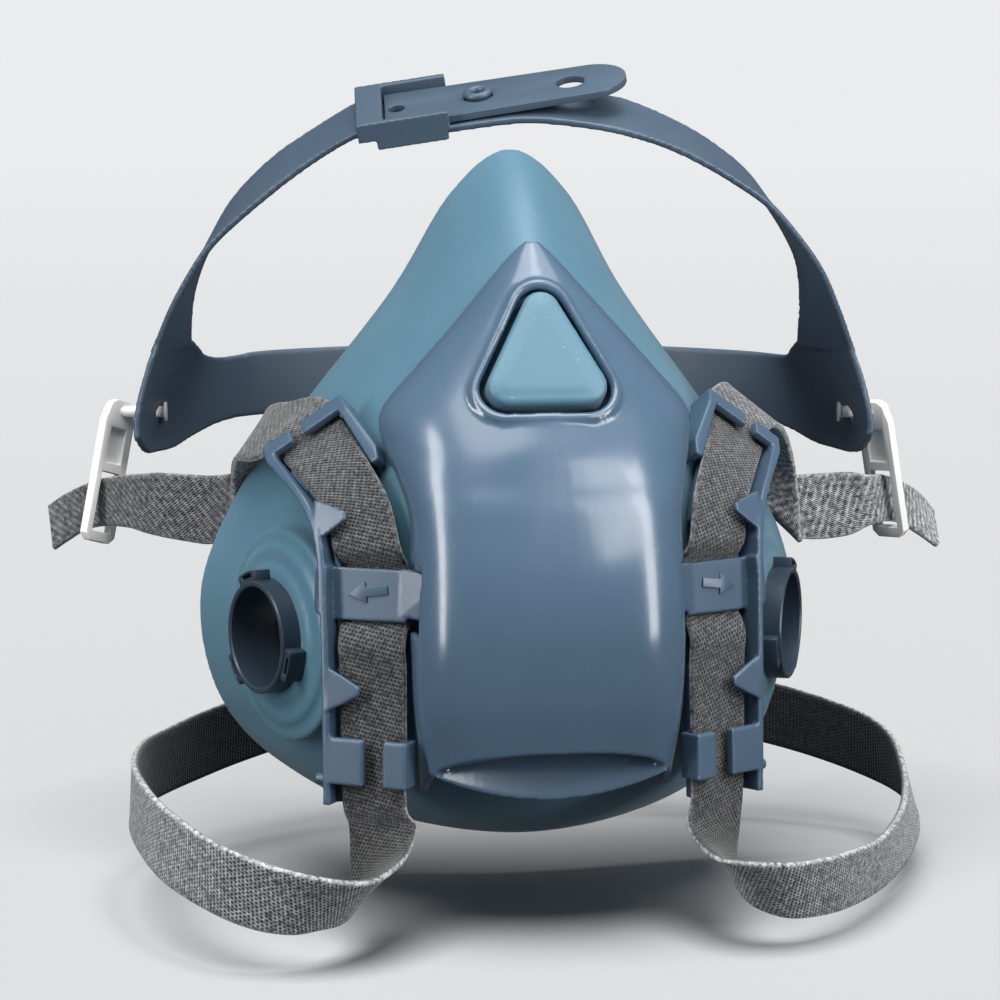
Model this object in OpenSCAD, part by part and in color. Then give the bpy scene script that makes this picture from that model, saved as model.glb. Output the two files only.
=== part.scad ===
// Half-mask respirator with a head cradle, a drop-down strap harness and two bayonet ports.
// Frame: origin at the middle of the face seal, +X to the viewer's right, +Y towards the wearer, +Z up.

/* [Facepiece] */
// Wall of the silicone body
wall = 2.5; // [2:0.1:3]
// Front hole for the exhalation valve seat, radius
front_hole_r = 17; // [16:0.5:18]
// Height of that hole's centre over the seal's centre
pole_z = -14; // [-16:1:-12]
// Depth of the body's front ring
front_y = -63; // [-65:1:-61]
// Width of the soft seal that turns inwards
seal_w = 18; // [12:1:20]

/* [Ports] */
// Bore of the bayonet tube, radius
port_r = 11; // [10.5:0.1:11.5]
// Outside of the bayonet tube, radius
port_out_r = 12.3; // [12.2:0.1:12.8]
// Outside of the bayonet lugs, radius
lug_r = 14.5; // [14:0.1:15]
// Angle of a port's axis, away from straight ahead
port_turn = 66; // [64:1:68]

/* [Harness] */
// Width of the elastic strap
strap_w = 16; // [15:0.5:16.5]
// Thickness of the elastic strap
strap_t = 1.4; // [1.2:0.1:1.6]
// Thickness of the yoke's walls
yoke_t = 1.8; // [1.6:0.1:2.2]
// Turn of the whole head cradle about the vertical
cradle_turn = -8.7; // [-12:0.1:0]
// Thickness of the cradle's straps
cradle_t = 1.6; // [1.4:0.1:2]

/* [Cover] */
// Wall of the valve cover
cover_t = 1.8; // [1.6:0.1:2.2]

/* [Hidden] */
$fn = 64;
silicone = "#54849a";
slate = "#5d7590";
dark_slate = "#3f5570";
elastic = "#8f9194";
white = "#ece9e2";

// ---------- helpers ----------
function unit(v) = v / norm(v);
function mix(a, b, t) = a + (b - a) * t;
function bez(p, t) = pow(1 - t, 3) * p[0] + 3 * t * pow(1 - t, 2) * p[1] + 3 * t * t * (1 - t) * p[2]
    + pow(t, 3) * p[3];
function cr(a, b, c, d, t) = 0.5 * ((2 * b) + (c - a) * t + (2 * a - 5 * b + 4 * c - d) * t * t
    + (3 * b - a - 3 * c + d) * pow(t, 3));
function clampi(i, n) = max(0, min(n - 1, i));
// A smooth open curve through the rows of a list, k steps between rows
function smooth(rows, k) = let (n = len(rows))
    [for (i = [0 : n - 2]) for (j = [0 : k - 1])
        cr(rows[clampi(i - 1, n)], rows[i], rows[i + 1], rows[clampi(i + 2, n)], j / k),
     rows[n - 1]];
// The same through a closed ring of rows
function smooth_ring(rows, k) = let (n = len(rows))
    [for (i = [0 : n - 1]) for (j = [0 : k - 1])
        cr(rows[(i + n - 1) % n], rows[i], rows[(i + 1) % n], rows[(i + 2) % n], j / k)];

// Loops of points joined into a solid: loops follow each other, and close on the first if ring is true.
// Each loop runs out along one face and back along the other, so its two ends are closed in strips.
module loft(loops, ring = false) {
    n = len(loops);
    m = len(loops[0]);
    side = [for (i = [0 : ring ? n - 1 : n - 2]) for (j = [0 : m - 1])
        let (a = i * m + j, b = i * m + (j + 1) % m, c = ((i + 1) % n) * m + (j + 1) % m, d = ((i + 1) % n) * m + j)
        each [[a, b, c], [a, c, d]]];
    first = [for (k = [0 : m / 2 - 2]) each [[k, m - 1 - k, m - 2 - k], [k, m - 2 - k, k + 1]]];
    end = (n - 1) * m;
    last = [for (k = [0 : m / 2 - 2]) each [[end + k, end + k + 1, end + m - 2 - k],
        [end + k, end + m - 2 - k, end + m - 1 - k]]];
    polyhedron(points = [for (l = loops) each l], faces = ring ? side : concat(side, first, last));
}

module sided(s) { if (s < 0) mirror([1, 0, 0]) children(); else children(); }

// ---------- facepiece ----------
// The rim: x, z and depth y, then the outer wall's two inner handles as shares of the radius and depths
RIM = [
    [0, 77.5, -8, 0.82, -46, 0.45, -60], [13, 68, -7, 0.84, -42, 0.48, -61],
    [26, 46, -3, 0.96, -34, 0.62, -61], [44, 22, 2, 0.92, -32, 0.68, -61],
    [60, 0, 6, 0.88, -27, 0.58, -58], [68.6, -25, 8, 0.82, -28, 0.52, -56],
    [62, -51, 7, 0.86, -28, 0.58, -58], [40, -67, 2, 1.02, -30, 0.74, -62],
    [0, -72.5, -4, 1.12, -34, 0.80, -62],
    [-40, -67, 2, 1.02, -30, 0.74, -62], [-62, -51, 7, 0.86, -28, 0.58, -58],
    [-68.6, -25, 8, 0.82, -28, 0.52, -56], [-60, 0, 6, 0.88, -27, 0.58, -58],
    [-44, 22, 2, 0.92, -32, 0.68, -61], [-26, 46, -3, 0.96, -34, 0.62, -61],
    [-13, 68, -7, 0.84, -42, 0.48, -61]];
rim = smooth_ring(RIM, 4);
function rim_r(s) = norm([s[0], s[1] - pole_z]);
// Outer wall of one station as (radius, y), t = 0 at the rim and 1 at the front hole
function outer(s, t) = let (r = rim_r(s))
    bez([[r, s[2]], [s[3] * r, s[4]], [s[5] * r, s[6]], [front_hole_r, front_y]], t);
function outer_in(s, t, w) = let (p = outer(s, t), q = unit(outer(s, min(1, t + 0.01)) - outer(s, max(0, t - 0.01))))
    p + w * [q[1], -q[0]];
wall_steps = 12;
function body_profile(s) = let (r = rim_r(s), y = s[2], w = min(seal_w, 0.3 * r)) concat(
    [for (i = [wall_steps : -1 : 0]) outer(s, i / wall_steps)],
    [[r - 0.6, y + 1.2], [r - 2, y + 1.6]],
    [for (i = [1 : 3]) [r - 2 - (w - 3) * i / 3, y + 1.6 - 10 * pow(i / 3, 1.4)]],
    [[r - w - 0.4, y - 9.4], [r - w + 0.6, y - 9.8]],
    [for (i = [2 : -1 : 1]) [r - 3.2 - (w - 3) * i / 3, y - 0.2 - 10 * pow(i / 3, 1.4)]],
    [[r - 3.4, y - 1.2]],
    [for (i = [1 : wall_steps - 1]) outer_in(s, mix(0.06, 1, i / wall_steps), wall)],
    [[front_hole_r, front_y + wall]]);
function to_space(s, p) = let (d = unit([s[0], s[1] - pole_z])) [d[0] * p[0], p[1], pole_z + d[1] * p[0]];

port_axis = [sin(port_turn), -cos(port_turn), 0];
port_face = [59.5, -32, -26.5];
tube_stand = 8;
port_seat = port_face - tube_stand * port_axis;
// Children drawn along +Z are set on the port on side s, with +Z out of the mask
module at_port(s) { sided(s) translate(port_seat) rotate([90, 0, port_turn]) children(); }

boss_turn = -28;
module boss_shape(grow, top, bottom) {
    // The rounded triangle of the front badge
    translate([0, -53.5, 36]) rotate([boss_turn, 0, 0]) hull() {
        for (x = [-8.2, 8.2]) translate([x, 0, -8]) rotate([90, 0, 0]) {
            translate([0, 0, bottom]) cylinder(r = 4.6 + grow, h = top - bottom, $fn = 32);
        }
        translate([0, 0, 9.5]) rotate([90, 0, 0]) translate([0, 0, bottom])
            cylinder(r = 4 + grow, h = top - bottom, $fn = 32);
    }
}

module silicone_step(r, top) {
    // One moulded ring round a port, with a small round on its edge
    hull() {
        translate([0, 0, -6]) cylinder(r = r, h = top + 6 - 0.5, $fn = 48);
        translate([0, 0, top - 1]) cylinder(r = r - 0.6, h = 1, $fn = 48);
    }
}

module facepiece() {
    color(silicone) difference() {
        union() {
            loft([for (s = rim) [for (p = body_profile(s)) to_space(s, p)]], ring = true);
            for (s = [-1, 1]) at_port(s) intersection() {
                union() {
                    silicone_step(23.2, 1.1);
                    silicone_step(19.5, 2.4);
                    silicone_step(15, 3.2);
                }
                translate([0, 0, -5.5]) cylinder(r = 30, h = 20, $fn = 48);
            }
            boss_shape(0, 4.2, -4);
            boss_shape(-1, 4.8, 0);
        }
        for (s = [-1, 1]) at_port(s) {
            translate([0, 0, -20]) cylinder(r = port_out_r + 0.02, h = 40, $fn = 64);
            translate([0, 0, -14]) cylinder(r = 17.4, h = 9.9, $fn = 48);
        }
    }
}

// ---------- ports ----------
// Outer edge, shoulder and inner end of the tube, along its axis
tube_in = -9;
bore_len = 12;
seat_r = 10;
module port_collar(s) {
    color(slate) at_port(s) {
        rotate_extrude() polygon([[port_r, tube_stand - bore_len], [port_r, tube_stand],
            [port_out_r, tube_stand], [port_out_r, -4.2], [17, -5], [17, -6.6], [port_out_r, -7.6],
            [port_out_r, tube_in], [seat_r, tube_in], [seat_r, tube_stand - bore_len]]);
        for (a = [70, 200, 320]) rotate([0, 0, a]) difference() {
            translate([port_out_r - 0.4, -3.6, tube_stand - 4.6]) cube([lug_r - port_out_r + 0.4, 7.2, 4]);
            translate([port_out_r + 0.9, -2, tube_stand - 2.4]) cube([3, 4, 3]);
        }
    }
}
module port_collar_left() { port_collar(-1); }
module port_collar_right() { port_collar(1); }

nub_r = 1;
nub_head = tube_in - 3.2;
module inhale_seat(s) {
    color(slate) at_port(s) {
        difference() {
            translate([0, 0, tube_in]) cylinder(r = seat_r, h = 2);
            translate([0, 0, tube_in - 1]) cylinder(r = seat_r - 1.4, h = 4);
        }
        for (a = [0, 120, 240]) rotate([0, 0, a]) translate([1, -0.6, tube_in]) cube([seat_r - 2, 1.2, 1.6]);
        translate([0, 0, tube_in]) cylinder(r = 2, h = 2);
        translate([0, 0, nub_head]) cylinder(r = nub_r, h = 3.6);
        translate([0, 0, nub_head - 0.6]) cylinder(r = 1.8, h = 0.8);
    }
}
module inhale_seat_left() { inhale_seat(-1); }
module inhale_seat_right() { inhale_seat(1); }

module inhale_flap(s) {
    color("#c9cdd0") at_port(s) translate([0, 0, tube_in - 0.75]) difference() {
        cylinder(r = 9.4, h = 0.6);
        translate([0, 0, -1]) cylinder(r = nub_r + 0.15, h = 3);
    }
}
module inhale_flap_left() { inhale_flap(-1); }
module inhale_flap_right() { inhale_flap(1); }

// ---------- exhalation valve ----------
module at_valve() { translate([0, 0, pole_z]) rotate([90, 0, 0]) children(); }
valve_front = -front_y;
module exhale_seat() {
    // A ring whose front flange lies on the silicone, with a raised lip for the flap and a spoked hub
    color(slate) at_valve() {
        rotate_extrude() polygon([[13, valve_front - 8], [16.4, valve_front - 8], [16.4, valve_front + 0.3],
            [20, valve_front + 0.3], [20, valve_front + 1.6], [15.4, valve_front + 1.8],
            [14.6, valve_front + 3], [13, valve_front + 3]]);
        for (a = [0, 90, 180, 270]) rotate([0, 0, a]) translate([1, -0.7, valve_front])
            cube([12.3, 1.4, 2.2]);
        translate([0, 0, valve_front]) cylinder(r = 2.2, h = 2.4);
        translate([0, 0, valve_front + 2]) cylinder(r = 1.1, h = 5);
        translate([0, 0, valve_front + 6.4]) cylinder(r = 2, h = 0.8);
    }
}
module seat_clamp_ring() {
    color(slate) at_valve() difference() {
        translate([0, 0, valve_front - 7.4]) cylinder(r = 19.6, h = 2.4);
        translate([0, 0, valve_front - 9]) cylinder(r = 16.5, h = 8);
    }
}
module exhale_flap() {
    color("#e4c95a") at_valve() translate([0, 0, valve_front + 3.1]) difference() {
        union() {
            cylinder(r = 15, h = 0.7);
            cylinder(r = 3, h = 1.4);
        }
        translate([0, 0, -1]) cylinder(r = 1.25, h = 4);
    }
}

// ---------- strap route ----------
// Each row holds the two edges of the elastic strap: the outer or lower edge, then the inner or upper one.
function row(ax, ay, az, bx, by, bz) = [ax, ay, az, bx, by, bz];
// From the lower clip up the yoke and over the bracket's bar, alike on both sides
RUN = [
    row(43.2, -56.6, -58, 30.6, -64.4, -58), row(43.4, -56, -45, 30.5, -63.9, -45),
    row(43.5, -55.2, -30, 30.3, -62.8, -30), row(43.8, -53.4, -16, 30.4, -61, -16),
    row(44.2, -51, -5, 30.8, -58.8, -4), row(45.6, -46.6, 2, 32.8, -54.2, 6),
    row(48.8, -39.4, 7, 36.5, -45.8, 14), row(52.7, -29.8, 11.5, 40.1, -33.2, 20.5),
    row(55.4, -23, 14.6, 42.3, -22.6, 23.8)];
// Over the bracket's bar, back past the seal's edge, a diagonal fold behind it, and out to the buckle
OVER_RIGHT = [
    row(59, -16.5, 15.4, 46.5, -15.7, 25.3), row(63.2, -7.5, 12.6, 50.4, -6.5, 22.2),
    row(66.6, 0, 7.3, 53.2, 3.5, 15.6), row(69.3, 6.5, 0.8, 54.6, 10, 6.6), row(70.8, 9.6, -7, 56, 11.6, 1.2),
    row(71.2, 10.4, -12.6, 57, 11.8, -0.6), row(71.9, 11.9, -15.2, 57.7, 13, -1.7),
    row(72.4, 13.4, -15, 58.6, 14.4, -0.8), row(73, 14, -15, 63.4, 15, -0.2)];
OVER_LEFT = [
    row(56, -18, 11.3, 46, -17, 23.6), row(58.5, -12, 9.3, 49.1, -12, 22.3), row(60.8, -5, 8.6, 51.4, -4, 21),
    row(61.2, 1, 6, 52.6, 2.5, 19), row(60.9, 6, 2, 53.4, 8, 15.5), row(60.6, 10.5, -3.5, 53.6, 11.5, 11),
    row(60.6, 13.4, -9, 55.4, 14, 6.4), row(62.2, 15.6, -12.4, 59.4, 16.2, 3.2)];
REACH_RIGHT = [
    row(75.6, 14.2, -15.2, 71, 15, 0), row(79.6, 14.2, -15, 78.4, 15, 0.3), row(84.3, 14, -14.2, 84.1, 15, 0.4)];
REACH_LEFT = [row(65.6, 17.6, -13.6, 64.4, 18.4, 2.2), row(71, 20.8, -13.2, 70.8, 21.8, 2.2),
    row(76, 24, -12.6, 76, 25, 2.2), row(79.6, 26.8, -12, 79.6, 27.8, 1.7)];
TAIL_RIGHT = [
    row(89, 13.8, -12, 88.2, 15, -0.3), row(94, 18.6, -12, 92.6, 18.9, -0.9),
    row(98.6, 22.4, -13.4, 97.6, 24.4, -2.8), row(104, 25.4, -16.6, 104.6, 33, -7), row(108.6, 27, -19.6, 110.6, 40, -12.8)];
TAIL_LEFT = [
    row(83.2, 31.4, -11.4, 83.2, 32.2, 0.9), row(88.3, 38.5, -12, 88.2, 38.5, -0.6),
    row(92.5, 42, -13.4, 92.5, 43, -2.6), row(96.5, 44, -16, 97, 48, -5.6), row(99.8, 44.5, -18.2, 100.6, 51, -8.6)];
LOOP_LEFT = [
    row(42, -57.4, -63, 28.6, -65.4, -62), row(42, -61, -71, 31, -71, -66),
    row(42, -66, -76, 35, -78, -67.5), row(43.5, -71, -78.5, 39.5, -83, -68.5),
    row(46.5, -75.5, -79.5, 44.5, -86.5, -68), row(51, -79.5, -79.5, 50.5, -88.5, -66.5),
    row(57, -82.5, -79.5, 57, -88.6, -64.8), row(65, -82.5, -78, 65, -86, -62.5),
    row(73, -77, -75.5, 73, -79, -59.8), row(81, -62, -73, 80.5, -62.5, -57),
    row(85, -43, -71, 84, -46.5, -55.5), row(86, -23, -70, 85.5, -27, -54.5),
    row(83.5, -4, -70, 82.5, -6, -54.2), row(77, 12, -70.4, 76, 10, -54.6),
    row(69, 24, -70, 69, 22, -54.2), row(59, 34, -68.6, 59, 32, -52.8),
    row(46, 43, -66.6, 46, 41.6, -50.7), row(32, 50, -64.4, 32, 49.4, -48.4), row(18, 54, -62, 18, 54, -46)];
LOOP_RIGHT = [
    row(42.6, -58, -62.5, 29.2, -66.4, -62.5), row(41.5, -61, -67, 30.5, -72, -66),
    row(40, -65, -71, 33, -79, -67.5), row(39.5, -70, -75.5, 35.5, -84, -67.2),
    row(42, -74.5, -79, 40.5, -85.5, -67.3), row(48, -76, -81.5, 47.5, -84, -68),
    row(55, -73, -82.5, 54, -80, -68.5), row(65, -64, -83.2, 63, -71, -69.2),
    row(77.5, -46, -83.5, 74.5, -54, -70.5), row(88, -27, -82, 84, -34, -69.7),
    row(95, -9, -80, 90, -16, -68.5), row(97.5, 5, -77.5, 93, -2, -65.5),
    row(96, 15.5, -76, 93.5, 11, -61.4), row(90.5, 24, -74, 90, 21, -58.6),
    row(82, 32, -71.5, 82, 29, -56), row(72, 39, -69.2, 72, 36.4, -53.6),
    row(60, 45.5, -67, 60, 43.4, -51.3), row(47, 50, -65, 47, 48.6, -49.2),
    row(33, 53, -63.4, 33, 52.5, -47.5), row(18, 54, -62, 18, 54, -46)];
function flip(rows) = [for (i = [len(rows) - 1 : -1 : 0]) rows[i]];
function low(r) = [r[0], r[1], r[2]];
function high(r) = [r[3], r[4], r[5]];
// One flat rectangular section of the strap at row i of a smoothed route
function strap_section(rows, i, thick) = let (
    a = low(rows[i]), b = high(rows[i]), c = (a + b) / 2, w = unit(b - a), n = len(rows),
    p = rows[clampi(i - 1, n)], q = rows[clampi(i + 1, n)],
    t = unit((low(q) + high(q)) - (low(p) + high(p))),
    f = unit(cross(t, w)) * thick / 2)
    [a - f, a + f, b + f, b - f];
module ribbon(rows, k, thick = strap_t) {
    path = smooth(rows, k);
    loft([for (i = [0 : len(path) - 1]) strap_section(path, i, thick)]);
}

// The strap's own run: the yoke's, but bulging before each edge of the bridge and dipping behind it
fine_run = smooth(RUN, 8);
function dipped(i, d) = let (a = low(fine_run[i]), b = high(fine_run[i]),
    t = low(fine_run[i + 1]) - low(fine_run[i - 1]), o = unit(cross(t, a - b)) * d)
    concat(a + o, b + o);
STRAP_RUN = concat([for (i = [0 : 2]) RUN[i]],
    [for (p = [[19, -0.5], [21, 0.9], [22, 2.6], [24, 2.8], [28, 2.8], [30, 2.7], [31, 1], [33, -0.3]])
        dipped(p[0], p[1])],
    [for (i = [5 : 8]) RUN[i]]);
module strap_left() {
    color(elastic) mirror([1, 0, 0]) ribbon(concat(flip(LOOP_LEFT), STRAP_RUN, OVER_LEFT, REACH_LEFT), 2);
}
module strap_right() { color(elastic) ribbon(concat(flip(LOOP_RIGHT), STRAP_RUN, OVER_RIGHT, REACH_RIGHT), 2); }
module strap_tail_left() { color(elastic) mirror([1, 0, 0]) ribbon(TAIL_LEFT, 3); }
module strap_tail_right() { color(elastic) ribbon(TAIL_RIGHT, 3); }

// ---------- harness yoke ----------
run_steps = 4;
run = smooth(RUN, run_steps);
// A box set on the strap's run at row i: x across from the inner edge, y out of the face, z along
function run_frame(i) = let (
    a = low(run[i]), b = high(run[i]), c = (a + b) / 2, x = unit(a - b),
    t = unit(low(run[min(i + 1, len(run) - 1)]) + high(run[min(i + 1, len(run) - 1)])
        - low(run[max(i - 1, 0)]) - high(run[max(i - 1, 0)])),
    y = unit(cross(t, x)), z = cross(x, y))
    [[x[0], y[0], z[0], c[0]], [x[1], y[1], z[1], c[1]], [x[2], y[2], z[2], c[2]], [0, 0, 0, 1]];
module on_run(i) { multmatrix(run_frame(i)) children(); }
last_run = len(run) - 1;
// Where the fittings sit along the run, counted in its steps
clip_at = 3;
lower_tooth = 7;
bridge_at = 13;
bridge_h = 12.2;
upper_tooth = 19;
rail_end = 24;
bar_at = 28;
web_z = -19;
web_h = 10;
half_strap = strap_w / 2;
floor_gap = 1.1;
module floor_slice(i) {
    on_run(i) translate([-half_strap + 1.4, floor_gap, -0.3]) cube([strap_w + 1, yoke_t, 0.6]);
}
module rail_slice(i) {
    on_run(i) translate([half_strap + 0.8, -3.6, -0.3]) cube([1.6, 3.6 + floor_gap + yoke_t, 0.6]);
}
tooth_len = 7.4;
module tooth(i) {
    // A barb that reaches inwards over the strap from the rail, its sides a little hollow
    side = [for (t = [0 : 0.2 : 1]) bez([[0, 4.6], [-2.6, 3.6], [-5.2, 2], [-tooth_len, 0.9]], t)];
    on_run(i) translate([half_strap + 1.2, -2.4, 0]) rotate([90, 0, 0]) linear_extrude(1.2)
        polygon(concat(side, [for (k = [len(side) - 1 : -1 : 0]) [side[k][0], -side[k][1]]]));
}
module bridge(i) {
    // The strap passes behind this plate, and its outer edge swells into a lip
    on_run(i) {
        translate([-half_strap - 0.4, 0.1, -6.3]) cube([strap_w + 2.4, 1.5, bridge_h - 1.1]);
        hull() {
            translate([half_strap + 0.8, -3.4, -5.3]) cube([1.8, 5, bridge_h - 2]);
            translate([half_strap + 2, -2.4, -4.3]) cube([1.8, 3, bridge_h - 4]);
        }
    }
}
module bracket() {
    // The split bar in front of the strap, its two arms, and the bar behind the strap
    on_run(bar_at) {
        translate([-half_strap - 2.6, -3.5, 0]) cube([11, 1.8, 4]);
        translate([3.3, -3.5, 0]) cube([half_strap - 0.7, 1.8, 4]);
        translate([-half_strap - 2.6, floor_gap, -1]) cube([strap_w + 5.2, 1.8, 4]);
        translate([half_strap + 0.8, -3.5, -1]) cube([1.8, 6.4, 5]);
        translate([-half_strap - 2.6, -3.5, -1]) cube([1.8, 6.4, 5]);
    }
    hull() {
        on_run(bar_at) translate([half_strap + 0.8, -3.5, -1]) cube([1.8, 6, 3]);
        rail_slice(rail_end);
    }
    hull() {
        on_run(bar_at) translate([-half_strap - 2.6, -3.5, -1]) cube([1.8, 6, 3]);
        on_run(rail_end) translate([-half_strap - 2.6, -0.5, -2]) cube([1.8, 3.4, 4]);
    }
}
module yoke_side() {
    for (i = [0 : 2 : 6], j = [0, 18]) if (i + j < rail_end) hull() { floor_slice(i + j); floor_slice(i + j + 2); }
    for (i = [0 : 2 : rail_end - 2]) hull() { rail_slice(i); rail_slice(i + 2); }
    tooth(upper_tooth);
    tooth(lower_tooth);
    bridge(bridge_at);
    bracket();
    // Bottom clip: a tab from the rail, an ear on the cover's side, and a peg
    on_run(clip_at) {
        translate([half_strap - 7, -3.6, -5]) cube([9.4, 1.8, 10]);
        translate([-half_strap - 0.9, -3.6, -5]) cube([5.4, 1.8, 10]);
        translate([-half_strap - 0.9, -3.6, -5]) cube([0.8, 5.4, 10]);
        translate([-half_strap - 0.9, 1.1, -5]) cube([4, 0.8, 10]);
        translate([half_strap + 1.6, -0.5, -4.5]) rotate([0, 90, 0]) cylinder(r = 1.3, h = 3.4, $fn = 24);
    }
}
module yoke_web() {
    // The web from the central ring, through the cover's side, to the channel's floor
    hull() {
        translate([21.6, -66.2, web_z]) cube([1.4, 1.6, web_h]);
        on_run(bridge_at) translate([-half_strap - 0.6, 0.1, web_z + 14]) cube([2, 1.5, web_h]);
    }
}
module yoke_centre() {
    // The ring that snaps over the valve seat
    at_valve() rotate_extrude() polygon([[20.4, valve_front + 1.2], [24, valve_front + 1.2], [24, valve_front + 3.2],
        [22.2, valve_front + 3.2], [22.2, valve_front + 5], [20.4, valve_front + 5]]);
}
module harness_yoke() {
    color(slate) {
        for (s = [-1, 1]) sided(s) {
            yoke_side();
            yoke_web();
        }
        yoke_centre();
    }
}

// ---------- valve cover ----------
// Down the nose: height, half width, depth of the side edges, depth of the middle, squareness
COVER = [
    [59.3, 1.6, -38, -39, 2], [56, 5, -38.2, -42.4, 2], [50.8, 9.7, -38.8, -47.6, 2],
    [42.5, 17, -40.8, -53.4, 2], [33, 25.5, -41.4, -58.2, 2], [24, 33, -41.4, -63, 2.1],
    [17, 33, -44.2, -67, 2.3], [11, 30.8, -51.3, -69.8, 2.5], [4, 29, -56.6, -73, 2.7],
    [-8, 29, -58.6, -76.6, 2.9], [-20, 29.2, -59, -78, 3], [-34, 28.6, -58.6, -77, 3],
    [-45.5, 26.7, -56.8, -74.4, 3]];
cover_rows = smooth(COVER, 3);
mouth_drop = 11;
arc_steps = 20;
function swell(v, n) = sign(v) * pow(abs(v), 2 / n);
function cover_point(r, i, angle, inset) = let (
    w = max(r[1] / 2, r[1] - inset), in_y = min(inset, (r[2] - r[3]) / 2), g = swell(sin(angle), r[4]),
    fall = mouth_drop * pow(i / (len(cover_rows) - 1), 5) * (1 - g))
    [-w * swell(cos(angle), r[4]), mix(r[2], r[3] + in_y, g), r[0] - fall];
function cover_loop(i) = let (r = cover_rows[i]) concat(
    [for (k = [0 : arc_steps]) cover_point(r, i, 180 * k / arc_steps, 0)],
    [for (k = [arc_steps : -1 : 0]) cover_point(r, i, 180 * k / arc_steps, cover_t)]);
module snap_hook(s, z) {
    // A small catch inside the cover's side wall
    sided(s) hull() {
        translate([26.2, -62, z]) cube([1.2, 3, 6]);
        translate([25.2, -60, z + 1]) cube([1.2, 1, 4]);
    }
}
// The lower lip under the mouth: a thin scoop from one side wall to the other
module mouth_lip() {
    loft([for (k = [-6 : 6]) let (u = k / 6, back = [26.4 * u, -63.3, -41], front = [24.6 * u, -67, -56.6 + 5.4 * u * u])
        [back + [0, 0.7, 0], mix(back, front, 0.6) + [0, 1.1, 0], front + [0, 0.7, 0],
         front - [0, 0.7, 0], mix(back, front, 0.6) - [0, 0.3, 0], back - [0, 0.7, 0]]]);
}
module valve_cover() {
    color(slate) difference() {
        union() {
            loft([for (i = [0 : len(cover_rows) - 1]) cover_loop(i)]);
            for (s = [-1, 1]) for (z = [-34, -5]) snap_hook(s, z);
            mouth_lip();
            difference() {
                boss_shape(3, 6.6, 2.6);
                boss_shape(1.2, 10, -4);
            }
        }
        boss_shape(1.2, 30, -2);
        // Notches in the side walls for the yoke's webs
        for (s = [-1, 1]) sided(s) translate([24, -66.8, web_z - 2.1]) cube([8, 14, web_h + 4.2]);
    }
}

// ---------- head cradle ----------
// The rear band from the left boot round the back to the right boot: lower edge, middle and upper edge
BOOT_LEFT = [
    [[-84.4, 15.5, 9.6], [-83.8, 15.6, 18], [-79.7, 15, 31.2]], [[-83, 23, 5.6], [-82.4, 23.5, 15], [-77, 24, 31.2]],
    [[-80.8, 31, 4.8], [-80.6, 31.5, 14.5], [-73.8, 32.4, 31.2]], [[-78, 38.5, 4.8], [-77.4, 39.5, 14.5], [-72.4, 40, 28.8]],
    [[-74, 45.6, 6.8], [-73.2, 47, 15], [-71.2, 48, 25.8]], [[-67.4, 54.2, 9.2], [-67.4, 54.4, 16.5], [-67, 54.8, 24.5]]];
BOOT_RIGHT = [
    [[84.2, 15.5, 10.6], [83.6, 16, 18], [79.6, 16.5, 31.2]], [[83, 23, 6.4], [82.4, 23.5, 15], [75, 24.5, 31.2]],
    [[80.8, 31, 4.8], [80.6, 31.5, 14.5], [69.6, 32, 31.2]], [[78, 38.5, 4.6], [77, 39.5, 14.5], [68, 40, 28.6]],
    [[74, 45.6, 5.2], [72.6, 47, 14.5], [67.6, 48.5, 26]], [[67.4, 54.2, 8], [67, 55, 16.5], [66, 55.6, 25.1]]];
BACK = [for (x = [-58, -40, -20, 0, 20, 40, 58]) let (y = 20 + 60 * sqrt(1 - pow(x / 82, 2)))
    [[x, y, 9.8], [x, y, 17.5], [x, y, 25.3]]];
band_rows = smooth(concat(BOOT_LEFT, BACK, flip(BOOT_RIGHT)), 2);
// A section through the band, half the thickness to each side of its three points
function band_section(i) = let (
    r = band_rows[i], n = len(band_rows), t = unit(band_rows[clampi(i + 1, n)][1] - band_rows[clampi(i - 1, n)][1]),
    f = [for (w = [r[1] - r[0], r[2] - r[0], r[2] - r[1]]) unit(cross(t, w)) * cradle_t / 2])
    [r[0] + f[0], r[1] + f[1], r[2] + f[2], r[2] - f[2], r[1] - f[1], r[0] - f[0]];
module on_cradle() { rotate([0, 0, cradle_turn]) children(); }
slot_at = [81, 30, 14.3];
peg_r = 1.6;
module cradle_band() {
    color(dark_slate) on_cradle() difference() {
        loft([for (i = [0 : len(band_rows) - 1]) band_section(i)]);
        for (s = [-1, 1]) sided(s) translate(slot_at) rotate([0, 90, 0])
            cylinder(r = 2.5, h = 12, center = true, $fn = 4);
    }
}
crown_mid_y = 4;
strap_twist = 0.34;
// The crown straps from the boots up to the top: front edge, then back edge
CROWN_LEFT = [
    row(-79.6, 15, 31.6, -73.5, 33, 31.6), row(-75.9, 11.8, 39.7, -72.9, 30.6, 39.7),
    row(-71.4, 9, 47.6, -71, 28, 47), row(-66, 6.5, 55.2, -67.8, 25.4, 54.2), row(-57.6, 3.6, 62.8, -61.8, 22, 64.4),
    row(-48.1, 0.8, 70.4, -53, 18.9, 73.4), row(-40, -1.6, 76, -44.4, 16.7, 79.5)];
CROWN_RIGHT = [
    row(79.6, 16, 31.6, 68.8, 32, 31.6), row(76.4, 12.4, 39.6, 69.1, 29.8, 40),
    row(72.1, 8.8, 48.7, 68.1, 27.4, 49.2), row(66.6, 5.8, 56.4, 65, 24.8, 56.4), row(59.8, 3.2, 64, 60, 22, 64.2),
    row(51.7, 1.2, 69.6, 55, 20, 70.8), row(44.5, -0.4, 73.8, 48.8, 18, 76), row(37.4, -1.8, 77.2, 41, 16.3, 81)];
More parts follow.
